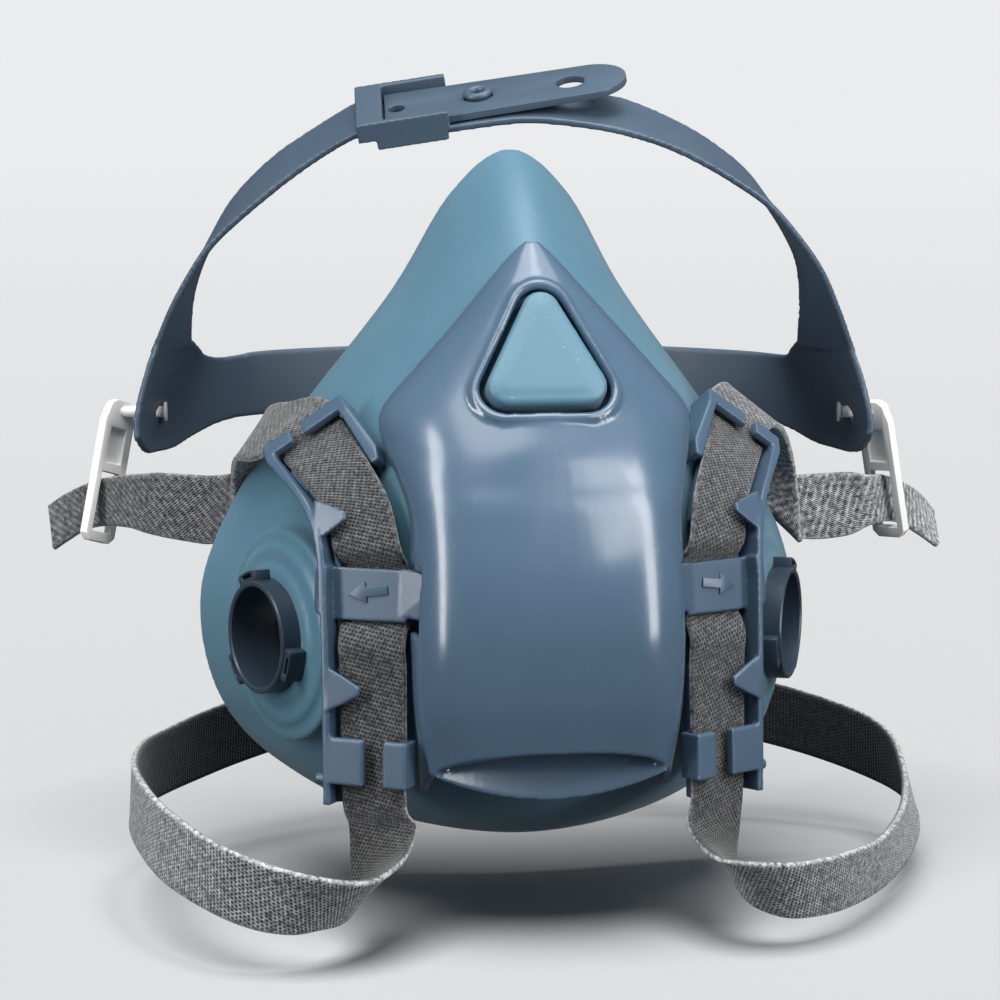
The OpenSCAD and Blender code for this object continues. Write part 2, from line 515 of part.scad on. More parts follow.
// The tongue's line across the top, and the lap of the right strap under it
lap_slope = 0.155;
function tongue_z(x) = 83.6 + lap_slope * (x + 33);
top_w = unit([0, 0.94, strap_twist]);
function top_row(x, z, w) = let (c = [x, crown_mid_y, z], h = top_w * w / 2)
    [c[0] - h[0], c[1] - h[1], c[2] - h[2], c[0] + h[0], c[1] + h[1], c[2] + h[2]];
lap_gap = 2.3;
hinge_x = -26.6;
module crown_strap_left() {
    color(dark_slate) on_cradle() ribbon(concat(CROWN_LEFT,
        [top_row(-33, tongue_z(-33) - 0.4, 19), top_row(hinge_x - 1, tongue_z(hinge_x - 1), 19)]), 2, cradle_t);
}
stud_x = -5.7;
module top_frame(x, z) {
    // A frame on the top lap: x along the tongue, y across it, z out of it
    u = unit([1, 0, lap_slope]);
    n = unit(cross(u, top_w));
    v = cross(n, u);
    multmatrix([[u[0], v[0], n[0], x], [u[1], v[1], n[1], crown_mid_y], [u[2], v[2], n[2], z], [0, 0, 0, 1]])
        children();
}
module crown_strap_right() {
    color(dark_slate) on_cradle() {
        ribbon(concat(CROWN_RIGHT, [top_row(28, 83.6, 19), top_row(16, 85.8, 19), top_row(5, 86.6, 19),
             top_row(stud_x, tongue_z(stud_x) - lap_gap, 19), top_row(-20, tongue_z(-20) - lap_gap, 19),
             top_row(-28, tongue_z(-28) - lap_gap, 19)]), 2, cradle_t);
        top_frame(stud_x, tongue_z(stud_x)) difference() {
            translate([0, 0, -lap_gap]) cylinder(r = 2.9, h = lap_gap + 2.4);
            translate([0, 0, -lap_gap + 1]) cylinder(r = 1.4, h = 6);
        }
    }
}
module crown_keeper() {
    color(dark_slate) on_cradle() top_frame(-33, tongue_z(-33)) {
        translate([0, -12.4, 1.2]) cube([6, 24.8, 1.5]);
        for (y = [-12.4, 10.6]) {
            translate([0, y, -1.7]) cube([20.6, 1.8, 4.4]);
            translate([4, y, -4.9]) cube([16, 1.8, 4]);
        }
        translate([4, -12.4, -4.9]) cube([16, 24.8, 1.3]);
    }
}
module crown_tongue() {
    tip = 28 - hinge_x;
    slant = cos(atan(lap_slope));
    color(dark_slate) on_cradle() top_frame(hinge_x, tongue_z(hinge_x)) translate([0, 0, -cradle_t / 2]) difference() {
        hull() {
            translate([0, -9.5, 0]) cube([1, 19, cradle_t]);
            translate([tip - 8.6, 0, 0]) cylinder(r = 8.6, h = cradle_t, $fn = 48);
        }
        for (x = [2.6, (stud_x - hinge_x) / slant, (14.9 - hinge_x) / slant])
            translate([x, 0, -1]) cylinder(r = x < 5 ? 2 : 3.3, h = 4);
    }
}

// ---------- buckles ----------
// A frame at the strap's crossing with z up the buckle and y along the strap
module buckle_frame(c, top, along) {
    z = unit(top - c);
    x = unit(cross(along, z));
    y = cross(z, x);
    multmatrix([[x[0], y[0], z[0], c[0]], [x[1], y[1], z[1], c[1]], [x[2], y[2], z[2], c[2]], [0, 0, 0, 1]]) children();
}
BUCKLE_RIGHT = [[93.8, 18.7, -6.4], [90, 16.6, 14.3], [0.74, 0.64, -0.1]];
BUCKLE_LEFT = [[-88.6, 38.6, -6.3], [-84.4, 43.2, 14.3], [-0.62, 0.78, -0.1]];
window_h = 14;
module buckle(b, s) {
    color(white) {
        buckle_frame(b[0], b[1], b[2]) difference() {
            translate([-4.4, -1.2, -window_h / 2 - 2.4]) cube([8.8, 2.4, norm(b[1] - b[0]) + window_h / 2 + 5]);
            translate([-2.7, -3, -window_h / 2]) cube([5.4, 6, window_h]);
        }
        on_cradle() sided(s) translate([78.8, slot_at[1], slot_at[2]]) rotate([0, 90, 0])
            cylinder(r = peg_r, h = s > 0 ? 9 : 10.8);
    }
}
module buckle_left() { buckle(BUCKLE_LEFT, -1); }
module buckle_right() { buckle(BUCKLE_RIGHT, 1); }

// ---------- neck clasp ----------
neck_y = 54;
neck_z = -54;
bar_x = 16.6;
module strap_bar(s) {
    // The upright bar that the strap is sewn round, and its two arms
    sided(s) {
        translate([bar_x, neck_y, neck_z - 10.5]) cylinder(r = 1.2, h = 21, $fn = 32);
        for (z = [-10.8, 9]) translate([12, neck_y - 1.2, neck_z + z]) cube([4.6, 2.4, 1.8]);
        translate([10.6, neck_y - 1.2, neck_z - 10.8]) cube([2.4, 2.4, 21.6]);
    }
}
module neck_hook() {
    color(slate) {
        strap_bar(-1);
        translate([-11, neck_y - 1.2, neck_z - 5]) cube([11, 2.4, 10]);
        translate([-2, neck_y + 1, neck_z - 4]) cube([2, 5, 8]);
        translate([-2, neck_y + 3.6, neck_z - 4]) cube([9.5, 2.4, 8]);
        translate([5.4, neck_y - 0.8, neck_z - 4]) cube([2.1, 5, 8]);
    }
}
module neck_loop() {
    color(slate) {
        strap_bar(1);
        for (z = [-10.8, 9]) translate([1, neck_y - 1.2, neck_z + z]) cube([10.6, 2.4, 1.8]);
        translate([1, neck_y - 1.2, neck_z - 10.8]) cube([2.6, 2.4, 21.6]);
    }
}

facepiece();
port_collar_left();
port_collar_right();
inhale_seat_left();
inhale_seat_right();
inhale_flap_left();
inhale_flap_right();
exhale_seat();
seat_clamp_ring();
exhale_flap();
harness_yoke();
valve_cover();
strap_left();
strap_right();
strap_tail_left();
strap_tail_right();
buckle_left();
buckle_right();
cradle_band();
crown_strap_left();
crown_strap_right();
crown_keeper();
crown_tongue();
neck_hook();
neck_loop();
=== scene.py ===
"""Looks of a half-mask respirator with a head cradle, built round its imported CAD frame.

Lengths in the tables are millimetres in the frame's own axes: +X to the viewer's right, +Y to the wearer,
+Z up, with the origin in the middle of the face seal. Pieces are written to Blender in metres.
"""
import math

import bmesh
import bpy
import numpy as np
from mathutils import Matrix, Vector
from mathutils.bvhtree import BVHTree


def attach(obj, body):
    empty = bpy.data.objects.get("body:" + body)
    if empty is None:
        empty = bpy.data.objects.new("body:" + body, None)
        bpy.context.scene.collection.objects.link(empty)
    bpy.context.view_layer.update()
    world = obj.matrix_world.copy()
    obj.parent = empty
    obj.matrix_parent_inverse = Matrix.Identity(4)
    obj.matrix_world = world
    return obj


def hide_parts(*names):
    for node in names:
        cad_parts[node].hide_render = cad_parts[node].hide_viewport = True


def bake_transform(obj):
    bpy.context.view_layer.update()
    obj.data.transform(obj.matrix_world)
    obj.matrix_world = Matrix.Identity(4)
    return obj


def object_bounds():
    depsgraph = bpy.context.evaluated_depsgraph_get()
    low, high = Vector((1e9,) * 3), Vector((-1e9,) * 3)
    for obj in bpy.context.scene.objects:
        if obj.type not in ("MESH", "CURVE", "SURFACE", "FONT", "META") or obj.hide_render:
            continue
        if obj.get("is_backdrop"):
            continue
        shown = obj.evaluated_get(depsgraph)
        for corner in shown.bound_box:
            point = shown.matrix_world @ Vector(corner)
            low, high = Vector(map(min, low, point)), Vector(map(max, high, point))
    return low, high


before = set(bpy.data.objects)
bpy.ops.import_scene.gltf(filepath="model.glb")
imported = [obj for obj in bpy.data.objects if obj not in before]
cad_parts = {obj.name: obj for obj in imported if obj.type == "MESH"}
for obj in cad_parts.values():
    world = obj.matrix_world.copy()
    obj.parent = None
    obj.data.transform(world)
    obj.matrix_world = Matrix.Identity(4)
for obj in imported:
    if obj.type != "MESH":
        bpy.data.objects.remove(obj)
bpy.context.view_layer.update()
MM = 0.001
CRADLE_TURN = math.radians(-8.7)


# ---------- curves and meshes ----------
def unit(v):
    v = np.asarray(v, float)
    return v / np.linalg.norm(v)


def smooth(rows, steps, ring=False):
    """Catmull-Rom curve through the rows, with that many steps from each row to the next."""
    rows = np.asarray(rows, float)
    n = len(rows)
    out = []
    for i in range(n if ring else n - 1):
        if ring:
            a, b, c, d = (rows[(i + k) % n] for k in (-1, 0, 1, 2))
        else:
            a, b, c, d = (rows[min(max(i + k, 0), n - 1)] for k in (-1, 0, 1, 2))
        for t in np.arange(steps) / steps:
            out.append(0.5 * (2 * b + (c - a) * t + (2 * a - 5 * b + 4 * c - d) * t * t
                              + (3 * b - a - 3 * c + d) * t ** 3))
    if not ring:
        out.append(rows[-1])
    return np.array(out)


def new_mesh(name, points, faces):
    """A mesh object from points in millimetres."""
    mesh = bpy.data.meshes.new(name)
    mesh.from_pydata([tuple(p) for p in np.asarray(points, float) * MM], [], [tuple(f) for f in faces])
    mesh.validate()
    obj = bpy.data.objects.new(name, mesh)
    bpy.context.scene.collection.objects.link(obj)
    return obj


def loft(loops, ring=False, closed=True):
    """Points and faces of a skin over loops of points; the two ends are closed with one face each."""
    loops = np.asarray(loops, float)
    n, m = loops.shape[:2]
    faces = []
    for i in range(n if ring else n - 1):
        for j in range(m if closed else m - 1):
            a, b = i * m + j, i * m + (j + 1) % m
            k = ((i + 1) % n) * m
            faces.append((a, b, k + (j + 1) % m, k + j))
    if not ring and closed:
        faces.append(tuple(range(m - 1, -1, -1)))
        faces.append(tuple((n - 1) * m + j for j in range(m)))
    return loops.reshape(-1, 3), faces


def lathe(profile, sides=96):
    """A ring of revolution about +Z from a closed (radius, height) profile."""
    loops = [[(r * math.cos(a), r * math.sin(a), h) for r, h in profile]
             for a in np.arange(sides) * 2 * math.pi / sides]
    return loft(loops, ring=True)


def block(low, high):
    """Points and faces of a box."""
    corners = [(x, y, z) for x in (low[0], high[0]) for y in (low[1], high[1]) for z in (low[2], high[2])]
    return corners, [(0, 1, 3, 2), (4, 6, 7, 5), (0, 4, 5, 1), (2, 3, 7, 6), (0, 2, 6, 4), (1, 5, 7, 3)]


def prism(outline, low, high):
    """Points and faces of a flat outline of (x, y), pulled from one height to the other."""
    n = len(outline)
    points = [(x, y, low) for x, y in outline] + [(x, y, high) for x, y in outline]
    sides = [(j, (j + 1) % n, n + (j + 1) % n, n + j) for j in range(n)]
    return points, sides + [tuple(range(n - 1, -1, -1)), tuple(range(n, 2 * n))]


def moved(shape, matrix):
    """A (points, faces) pair with its points carried by a 4x4 matrix in millimetres."""
    points = np.asarray(shape[0], float)
    matrix = np.asarray(matrix, float)
    return points @ matrix[:3, :3].T + matrix[:3, 3], shape[1]


def together(*shapes):
    """Several (points, faces) pairs as one."""
    points, faces, count = [], [], 0
    for p, f in shapes:
        points.append(np.asarray(p, float))
        faces += [tuple(count + i for i in face) for face in f]
        count += len(p)
    return np.concatenate(points), faces


def circle(radius, sides, x=0):
    """An outline round (x, 0)."""
    return [(x + radius * math.cos(a), radius * math.sin(a)) for a in np.arange(sides) * 2 * math.pi / sides]


def arc_band(bounds, sides):
    """An outline between two arcs round the origin, each given as a radius and half its span in degrees."""
    outline = []
    for radius, span in bounds:
        angles = np.radians(np.linspace(-span, span, sides))
        arc = [(radius * math.cos(a), radius * math.sin(a)) for a in angles]
        outline += arc[::-1] if outline else arc
    return outline


def basis(x, y, z, origin):
    """The 4x4 matrix of three axes and an origin."""
    m = np.eye(4)
    m[:3, 0], m[:3, 1], m[:3, 2], m[:3, 3] = x, y, z, origin
    return m


def in_metres(matrix):
    """A millimetre matrix for an object whose mesh is already in metres."""
    scaled = np.array(matrix, float)
    scaled[:3, 3] *= MM
    return Matrix(scaled.tolist())


def turn(angle, axis):
    """A 4x4 turn about a named axis."""
    return np.array(Matrix.Rotation(angle, 4, axis))


def shift(x, y, z):
    """A 4x4 move."""
    m = np.eye(4)
    m[:3, 3] = (x, y, z)
    return m


def side_matrix(side):
    """Mirrors a shape to the left where side is -1."""
    m = np.eye(4)
    m[0, 0] = side
    return m


def outward(obj):
    """Faces turned outwards."""
    bm = bmesh.new()
    bm.from_mesh(obj.data)
    bmesh.ops.recalc_face_normals(bm, faces=bm.faces)
    bm.to_mesh(obj.data)
    bm.free()


def applied(obj):
    """The object with its modifiers made permanent."""
    bpy.context.view_layer.update()
    depsgraph = bpy.context.evaluated_depsgraph_get()
    mesh = bpy.data.meshes.new_from_object(obj.evaluated_get(depsgraph))
    obj.modifiers.clear()
    obj.data = mesh
    return obj


def cut(obj, shape):
    """A (points, faces) shape taken out of an object."""
    tool = new_mesh("tool", *shape)
    outward(tool)
    outward(obj)
    mod = obj.modifiers.new("cut", "BOOLEAN")
    mod.operation = "DIFFERENCE"
    mod.solver = "EXACT"
    mod.object = tool
    applied(obj)
    bpy.data.objects.remove(tool)


def moulded(obj, voxel, rounds):
    """Joins an object's overlapping shapes into one skin with soft moulded edges. Voxel is in millimetres."""
    outward(obj)
    mod = obj.modifiers.new("join", "REMESH")
    mod.mode = "VOXEL"
    mod.voxel_size = voxel * MM
    relax = obj.modifiers.new("relax", "SMOOTH")
    relax.factor = 0.5
    relax.iterations = rounds
    return applied(obj)


def shade(obj, angle=None):
    """Smooth shading, with creases above an angle in degrees where one is given."""
    for polygon in obj.data.polygons:
        polygon.use_smooth = True
    if angle:
        obj.data.set_sharp_from_angle(angle=math.radians(angle))


def bevelled(obj, width, segments=3):
    """The object with its sharp edges rounded by a width in millimetres."""
    mod = obj.modifiers.new("edges", "BEVEL")
    mod.width = width * MM
    mod.segments = segments
    mod.limit_method = "ANGLE"
    mod.angle_limit = math.radians(35)
    mod.harden_normals = False
    return applied(obj)


def piece(obj, body, material, nodes=()):
    """Gives a finished piece its material, its body and the CAD nodes it stands for."""
    obj.data.materials.clear()
    obj.data.materials.append(material)
    if nodes:
        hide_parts(*nodes)
    if body:
        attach(obj, body)
    return obj


# ---------- materials ----------
class Paint:
    """A material's node tree, with a short way to add and join nodes."""

    def __init__(self, name):
        self.material = bpy.data.materials.new(name)
        self.material.use_nodes = True
        self.tree = self.material.node_tree
        self.shader = self.tree.nodes["Principled BSDF"]

    def node(self, kind, **values):
        made = self.tree.nodes.new(kind)
        for key, value in values.items():
            if hasattr(made, key):
                setattr(made, key, value)
            else:
                made.inputs[key.replace("_", " ")].default_value = value
        return made

    def join(self, source, target):
        self.tree.links.new(source, target)

    def set(self, **values):
        for key, value in values.items():
            self.shader.inputs[key.replace("_", " ")].default_value = value

    def math(self, operation, a, b=None):
        made = self.node("ShaderNodeMath", operation=operation)
        for index, value in enumerate((a, b)):
            if value is None:
                continue
            if isinstance(value, (int, float)):
                made.inputs[index].default_value = value
            else:
                self.join(value, made.inputs[index])
        return made.outputs[0]

    def noise(self, scale, detail=3.0, roughness=0.5):
        where = self.node("ShaderNodeTexCoord")
        made = self.node("ShaderNodeTexNoise", Scale=scale, Detail=detail, Roughness=roughness)
        self.join(where.outputs["Object"], made.inputs["Vector"])
        return made.outputs["Fac"]

    def ramp(self, value, stops):
        made = self.node("ShaderNodeValToRGB")
        ramp = made.color_ramp
        while len(ramp.elements) < len(stops):
            ramp.elements.new(0.5)
        for element, (place, colour) in zip(ramp.elements, stops):
            element.position = place
            element.color = (*colour, 1)
        self.join(value, made.inputs["Fac"])
        return made.outputs["Color"]

    def grey(self, value, low, high, start=0.0, end=1.0):
        made = self.node("ShaderNodeMapRange")
        for key, number in (("From Min", start), ("From Max", end), ("To Min", low), ("To Max", high)):
            made.inputs[key].default_value = number
        self.join(value, made.inputs["Value"])
        return made.outputs["Result"]

    def mix(self, factor, a, b, mode="MIX"):
        made = self.node("ShaderNodeMix", data_type="RGBA", blend_type=mode)
        for socket, value in ((made.inputs[0], factor), (made.inputs[6], a), (made.inputs[7], b)):
            if isinstance(value, (int, float)):
                socket.default_value = value
            elif isinstance(value, tuple):
                socket.default_value = (*value, 1)
            else:
                self.join(value, socket)
        return made.outputs[2]

    def bump(self, height, strength, distance):
        made = self.node("ShaderNodeBump", Strength=strength, Distance=distance)
        self.join(height, made.inputs["Height"])
        self.join(made.outputs["Normal"], self.shader.inputs["Normal"])


def moulded_plastic(name, dark, light, rough=(0.3, 0.42), grain=2600.0, grain_depth=0.00002, **sockets):
    """Injection-moulded plastic: cloudy tone, fine grain, and a little wear on its roughness."""
    p = Paint(name)
    cloud = p.noise(28.0, 4.0)
    p.join(p.ramp(cloud, [(0.3, dark), (0.7, light)]), p.shader.inputs["Base Color"])
    p.join(p.grey(p.noise(95.0, 5.0, 0.6), *rough, 0.35, 0.65), p.shader.inputs["Roughness"])
    p.bump(p.noise(grain, 2.0), 0.35, grain_depth)
    p.set(**sockets)
    return p.material


def silicone_material():
    p = Paint("silicone_skin")
    cloud = p.noise(16.0, 4.0)
    tone = p.ramp(cloud, [(0.3, (0.070, 0.172, 0.240)), (0.7, (0.084, 0.196, 0.266))])
    specks = p.noise(1500.0, 1.0)
    dust = p.grey(specks, 0.0, 0.35, 0.735, 0.78)
    p.join(p.mix(dust, tone, (0.42, 0.52, 0.56)), p.shader.inputs["Base Color"])
    p.join(p.grey(p.noise(70.0, 4.0), 0.40, 0.50, 0.3, 0.7), p.shader.inputs["Roughness"])
    p.bump(p.noise(1900.0, 3.0), 0.30, 0.00003)
    p.set(Subsurface_Weight=0.06, Subsurface_Scale=0.004, Sheen_Weight=0.12, Sheen_Roughness=0.5)
    return p.material


def webbing_material(name, dark, mid, light):
    """Knitted elastic: rows of short stitches in mixed greys, from the strap's own lay in millimetres, with
    painted light and shade on each face.
    """
    p = Paint(name)
    lay = p.node("ShaderNodeAttribute", attribute_name="lay")
    split = p.node("ShaderNodeSeparateXYZ")
    p.join(lay.outputs["Vector"], split.inputs[0])
    across, along, face_light = split.outputs["X"], split.outputs["Y"], split.outputs["Z"]
    row = p.math("DIVIDE", along, 0.9)
    offset = p.math("MULTIPLY", p.math("FLOOR", row), 0.5)
    step = p.math("ADD", p.math("DIVIDE", across, 0.88), offset)
    u = p.math("DIVIDE", p.math("SUBTRACT", p.math("FRACT", step), 0.5), 0.36)
    v = p.math("DIVIDE", p.math("SUBTRACT", p.math("FRACT", row), 0.5), 0.30)
    gap = p.math("ADD", p.math("MULTIPLY", u, u), p.math("MULTIPLY", v, v))
    height = p.grey(gap, 0.0, 1.0, 0.3, 1.9)
    edge = p.math("ABSOLUTE", p.math("SUBTRACT", across, 8))
    selvedge = p.grey(edge, 0.0, 1.0, 7.0, 7.6)
    height = p.math("MAXIMUM", height, p.math("MULTIPLY", selvedge, 0.85))
    yarn = p.noise(900.0, 2.0, 0.7)
    melange = p.ramp(yarn, [(0.30, dark), (0.47, mid), (0.66, light)])
    # Painted shade in the gaps between stitches, times each face's painted light and shade from the lay
    shadow = p.math("MULTIPLY", p.grey(height, 0.10, 1.0, 0.0, 0.9), face_light)
    tone = p.mix(1.0, melange, shadow, "MULTIPLY")
    p.join(tone, p.shader.inputs["Base Color"])
    fuzz = p.math("ADD", height, p.math("MULTIPLY", p.noise(2600.0, 2.0), 0.35))
    p.bump(fuzz, 0.9, 0.00022)
    p.set(Roughness=0.88, Sheen_Weight=0.35, Sheen_Roughness=0.45)
    return p.material


silicone = silicone_material()
cover_plastic = moulded_plastic("cover_plastic", (0.068, 0.118, 0.178), (0.080, 0.134, 0.200),
                                rough=(0.20, 0.28), Coat_Weight=0.35, Coat_Roughness=0.12)
yoke_plastic = moulded_plastic("yoke_plastic", (0.052, 0.092, 0.142), (0.064, 0.108, 0.164),
                               rough=(0.28, 0.38))
collar_plastic = moulded_plastic("collar_plastic", (0.026, 0.042, 0.062), (0.034, 0.052, 0.074),
                                 rough=(0.26, 0.36))
cradle_plastic = moulded_plastic("cradle_plastic", (0.058, 0.090, 0.132), (0.070, 0.106, 0.150),
                                 rough=(0.34, 0.46))
buckle_plastic = moulded_plastic("buckle_plastic", (0.86, 0.86, 0.83), (0.90, 0.90, 0.87), rough=(0.32, 0.42),
                                 Subsurface_Weight=0.12, Subsurface_Scale=0.002)
valve_plastic = moulded_plastic("valve_plastic", (0.050, 0.080, 0.115), (0.064, 0.098, 0.140),
                                rough=(0.38, 0.5))
flap_rubber = moulded_plastic("flap_rubber", (0.50, 0.53, 0.54), (0.58, 0.61, 0.62), rough=(0.42, 0.5),
                              Subsurface_Weight=0.3, Subsurface_Scale=0.002)
exhale_rubber = moulded_plastic("exhale_rubber", (0.56, 0.40, 0.08), (0.66, 0.48, 0.11), rough=(0.4, 0.48),
                                Subsurface_Weight=0.3, Subsurface_Scale=0.002)
webbing = webbing_material("elastic_webbing", (0.036, 0.037, 0.041), (0.26, 0.264, 0.28), (0.56, 0.562, 0.58))

# ---------- facepiece ----------
FRONT_HOLE_R = 17
POLE_Z = -14
FRONT_Y = -63
WALL = 2.5
SEAL_W = 18
# The rim: x, z and depth, then the outer wall's two inner handles as shares of the radius and depths
RIM = [
    [0, 77.5, -8, 0.82, -46, 0.45, -60], [13, 68, -7, 0.84, -42, 0.48, -61],
    [26, 46, -3, 0.96, -34, 0.62, -61], [44, 22, 2, 0.92, -32, 0.68, -61],
    [60, 0, 6, 0.88, -27, 0.58, -58], [68.6, -25, 8, 0.82, -28, 0.52, -56],
    [62, -51, 7, 0.86, -28, 0.58, -58], [40, -67, 2, 1.02, -30, 0.74, -62],
    [0, -72.5, -4, 1.12, -34, 0.80, -62]]
RIM += [[-row[0]] + row[1:] for row in RIM[7:0:-1]]
PORT_TURN = math.radians(66)
PORT_FACE = np.array([59.5, -32, -26.5])
TUBE_STAND = 8
PORT_AXIS = np.array([math.sin(PORT_TURN), -math.cos(PORT_TURN), 0])
PORT_SEAT = PORT_FACE - TUBE_STAND * PORT_AXIS
PORT_OUT_R = 12.3
PORT_R = 11
BADGE_PLACE = (0, -53.5, 36)
BADGE_TURN = math.radians(-28)


def bezier(p, t):
    p = [np.asarray(q, float) for q in p]
    return ((1 - t) ** 3 * p[0] + 3 * t * (1 - t) ** 2 * p[1] + 3 * t * t * (1 - t) * p[2] + t ** 3 * p[3])


def outer_wall(s, t):
    """Radius and depth of the outer wall at a station of the rim, from the rim (0) to the front hole (1)."""
    r = math.hypot(s[0], s[1] - POLE_Z)
    return bezier([(r, s[2]), (s[3] * r, s[4]), (s[5] * r, s[6]), (FRONT_HOLE_R, FRONT_Y)], t)


def inner_wall(s, t):
    along = unit(outer_wall(s, min(1, t + 0.01)) - outer_wall(s, max(0, t - 0.01)))
    return outer_wall(s, t) + WALL * np.array([along[1], -along[0]])


def body_profile(s, steps=44):
    """The wall, the rolled rim and the soft seal that turns inwards, as one closed (radius, depth) loop."""
    r = math.hypot(s[0], s[1] - POLE_Z)
    y = s[2]
    w = min(SEAL_W, 0.3 * r)
    loop = [outer_wall(s, t) for t in np.linspace(1, 0, steps)]
    loop += [(r - 0.25, y + 0.8), (r - 0.7, y + 1.25), (r - 1.3, y + 1.5), (r - 2, y + 1.6)]
    loop += [(r - 2 - (w - 3) * f, y + 1.6 - 10 * f ** 1.4) for f in np.linspace(0.1, 1, 10)]
    loop += [(r - w + 0.2, y - 8.9), (r - w - 0.3, y - 9.3), (r - w, y - 9.8), (r - w + 0.6, y - 9.9)]
    loop += [(r - 3.2 - (w - 3) * f, y - 0.2 - 10 * f ** 1.4) for f in np.linspace(0.9, 0.1, 9)]
    loop += [(r - 3.4, y - 1.2)]
    loop += [inner_wall(s, t) for t in np.linspace(0.06, 1, steps)]
    loop += [(FRONT_HOLE_R, FRONT_Y + WALL)]
    return loop


def port_matrix(side):
    """Carries a shape whose +Z leaves the mask on to the port on one side."""
    place = shift(*PORT_SEAT) @ turn(PORT_TURN, "Z") @ turn(math.pi / 2, "X")
    return side_matrix(side) @ place


def badge_outline(grow, count=72):
    """The rounded triangle of the front badge, as the hull of three circles."""
    circles = [(np.array([-8.2, -8.0]), 4.6), (np.array([8.2, -8.0]), 4.6), (np.array([0, 9.5]), 4.0)]
    points = []
    for a in np.arange(count) * 2 * math.pi / count:
        d = np.array([math.cos(a), math.sin(a)])
        centre, r = max(circles, key=lambda c: c[0] @ d + c[1])
        points.append(centre + (r + grow) * d)
    return points


BADGE = shift(*BADGE_PLACE) @ turn(BADGE_TURN, "X") @ turn(math.pi / 2, "X")


def badge_pillow():
    """The badge of the facepiece: a stepped, crowned rounded triangle."""
    rim, middle = np.array(badge_outline(0)), np.array([0, -3])
    # Its back stays within the wall, which falls away to both sides
    loops = [[(x, y, -2.85 - 0.023 * x * x) for x, y in middle + (rim - middle) * share]
             for share in (0.1, 0.3, 0.5, 0.7, 0.85, 1)]
    for grow, height in ((0, 3.2), (-0.15, 3.7), (-0.5, 4.1), (-1.0, 4.3), (-1.5, 4.15), (-1.9, 4.15),
                         (-2.3, 4.35), (-3.4, 4.6)):
        loops.append([(x, y, height) for x, y in badge_outline(grow)])
    return moved(loft(loops), BADGE)


def ring_step(radius, top, soft):
    """One moulded ring round a port."""
    profile = [(0, -5.5), (radius, -5.5), (radius, top - soft)]
    profile += [(radius - soft + soft * math.cos(a), top - soft + soft * math.sin(a))
                for a in (0.5, 1.0, 1.57)]
    loops = [[(r * math.cos(a), r * math.sin(a), h) for a in np.arange(120) * 2 * math.pi / 120]
             for r, h in [(max(r, 0.01), h) for r, h in profile + [(0.01, top)]]]
    return loft(loops)


def facepiece():
    loops = []
    for s in smooth(RIM, 14, ring=True):
        d = unit([s[0], s[1] - POLE_Z])
        loops.append([(d[0] * r, y, POLE_Z + d[1] * r) for r, y in body_profile(s)])
    shapes = [loft(loops, ring=True), badge_pillow()]
    for side in (-1, 1):
        for radius, top, soft in ((23.3, 1.3, 0.5), (19.6, 2.6, 0.5), (15, 3.5, 0.4)):
            shapes.append(moved(ring_step(radius, top, soft), port_matrix(side)))
    obj = new_mesh("facepiece_skin", *together(*shapes))
    moulded(obj, 0.7, 6)
    for side in (-1, 1):
        cut(obj, moved(prism(circle(PORT_OUT_R, 96), -20, 20), port_matrix(side)))
    shade(obj)
    piece(obj, "mask", silicone, ["facepiece"])
    return obj


facepiece()

# ---------- ports ----------
def port(side, label):
    """The bayonet tube with its three pocketed lugs, a parting ring and an inner key."""
    bead_r, flange_r, stop_r = PORT_OUT_R + 0.15, 17, 10
    tube = [(PORT_R, -4), (PORT_R, 7.7), (PORT_R + 0.3, 8), (PORT_OUT_R - 0.3, 8), (PORT_OUT_R, 7.7),
            (PORT_OUT_R, 2.3), (bead_r, 2.15), (bead_r, 1.9), (PORT_OUT_R, 1.75), (PORT_OUT_R, -4.2),
            (flange_r, -5), (flange_r, -6.6), (PORT_OUT_R, -7.6), (PORT_OUT_R, -9),
            (stop_r, -9), (stop_r, -4)]
    obj = new_mesh("port_tube_" + label, *moved(lathe(tube, 128), port_matrix(side)))
    outward(obj)
    shade(obj, 40)
    piece(obj, "mask", collar_plastic, ["port_collar_" + label])
    for number, angle in enumerate((70, 200, 320)):
        outline = arc_band(((PORT_OUT_R - 0.3, 17), (14.5, 15)), 9)
        lug = new_mesh(f"port_lug_{label}_{number}", *prism(outline, 3.4, 7.5))
        cut(lug, prism(arc_band(((PORT_OUT_R + 0.7, 9), (13.9, 9)), 5), 5, 9))
        bevelled(lug, 0.25, 2)
        lug.data.transform(in_metres(port_matrix(side) @ turn(math.radians(angle), "Z")))
        outward(lug)
        shade(lug, 35)
        piece(lug, "mask", collar_plastic)
    key = new_mesh("port_key_" + label, *moved(block((-PORT_R - 0.1, -0.6, -3.6), (-PORT_R + 0.9, 0.6, 4.4)),
                                               port_matrix(side) @ turn(math.radians(250), "Z")))
    outward(key)
    bevelled(key, 0.2, 2)
    shade(key, 35)
    piece(key, "mask", collar_plastic)


for side, label in ((-1, "left"), (1, "right")):
    port(side, label)

# ---------- valve cover ----------
COVER_T = 1.8
MOUTH_DROP = 11
# Down the nose: height, half width, depth of the side edges, depth of the middle, squareness
COVER = [
    [59.3, 1.6, -38, -39, 2], [56, 5, -38.2, -42.4, 2], [50.8, 9.7, -38.8, -47.6, 2],
    [42.5, 17, -40.8, -53.4, 2], [33, 25.5, -41.4, -58.2, 2], [24, 33, -41.4, -63, 2.1],
    [17, 33, -44.2, -67, 2.3], [11, 30.8, -51.3, -69.8, 2.5], [4, 29, -56.6, -73, 2.7],
    [-8, 29, -58.6, -76.6, 2.9], [-20, 29.2, -59, -78, 3], [-34, 28.6, -58.6, -77, 3],
    [-45.5, 26.7, -56.8, -74.4, 3]]
WEB_Z = -19
WEB_H = 10


def swell(v, n):
    return math.copysign(abs(v) ** (2 / n), v)


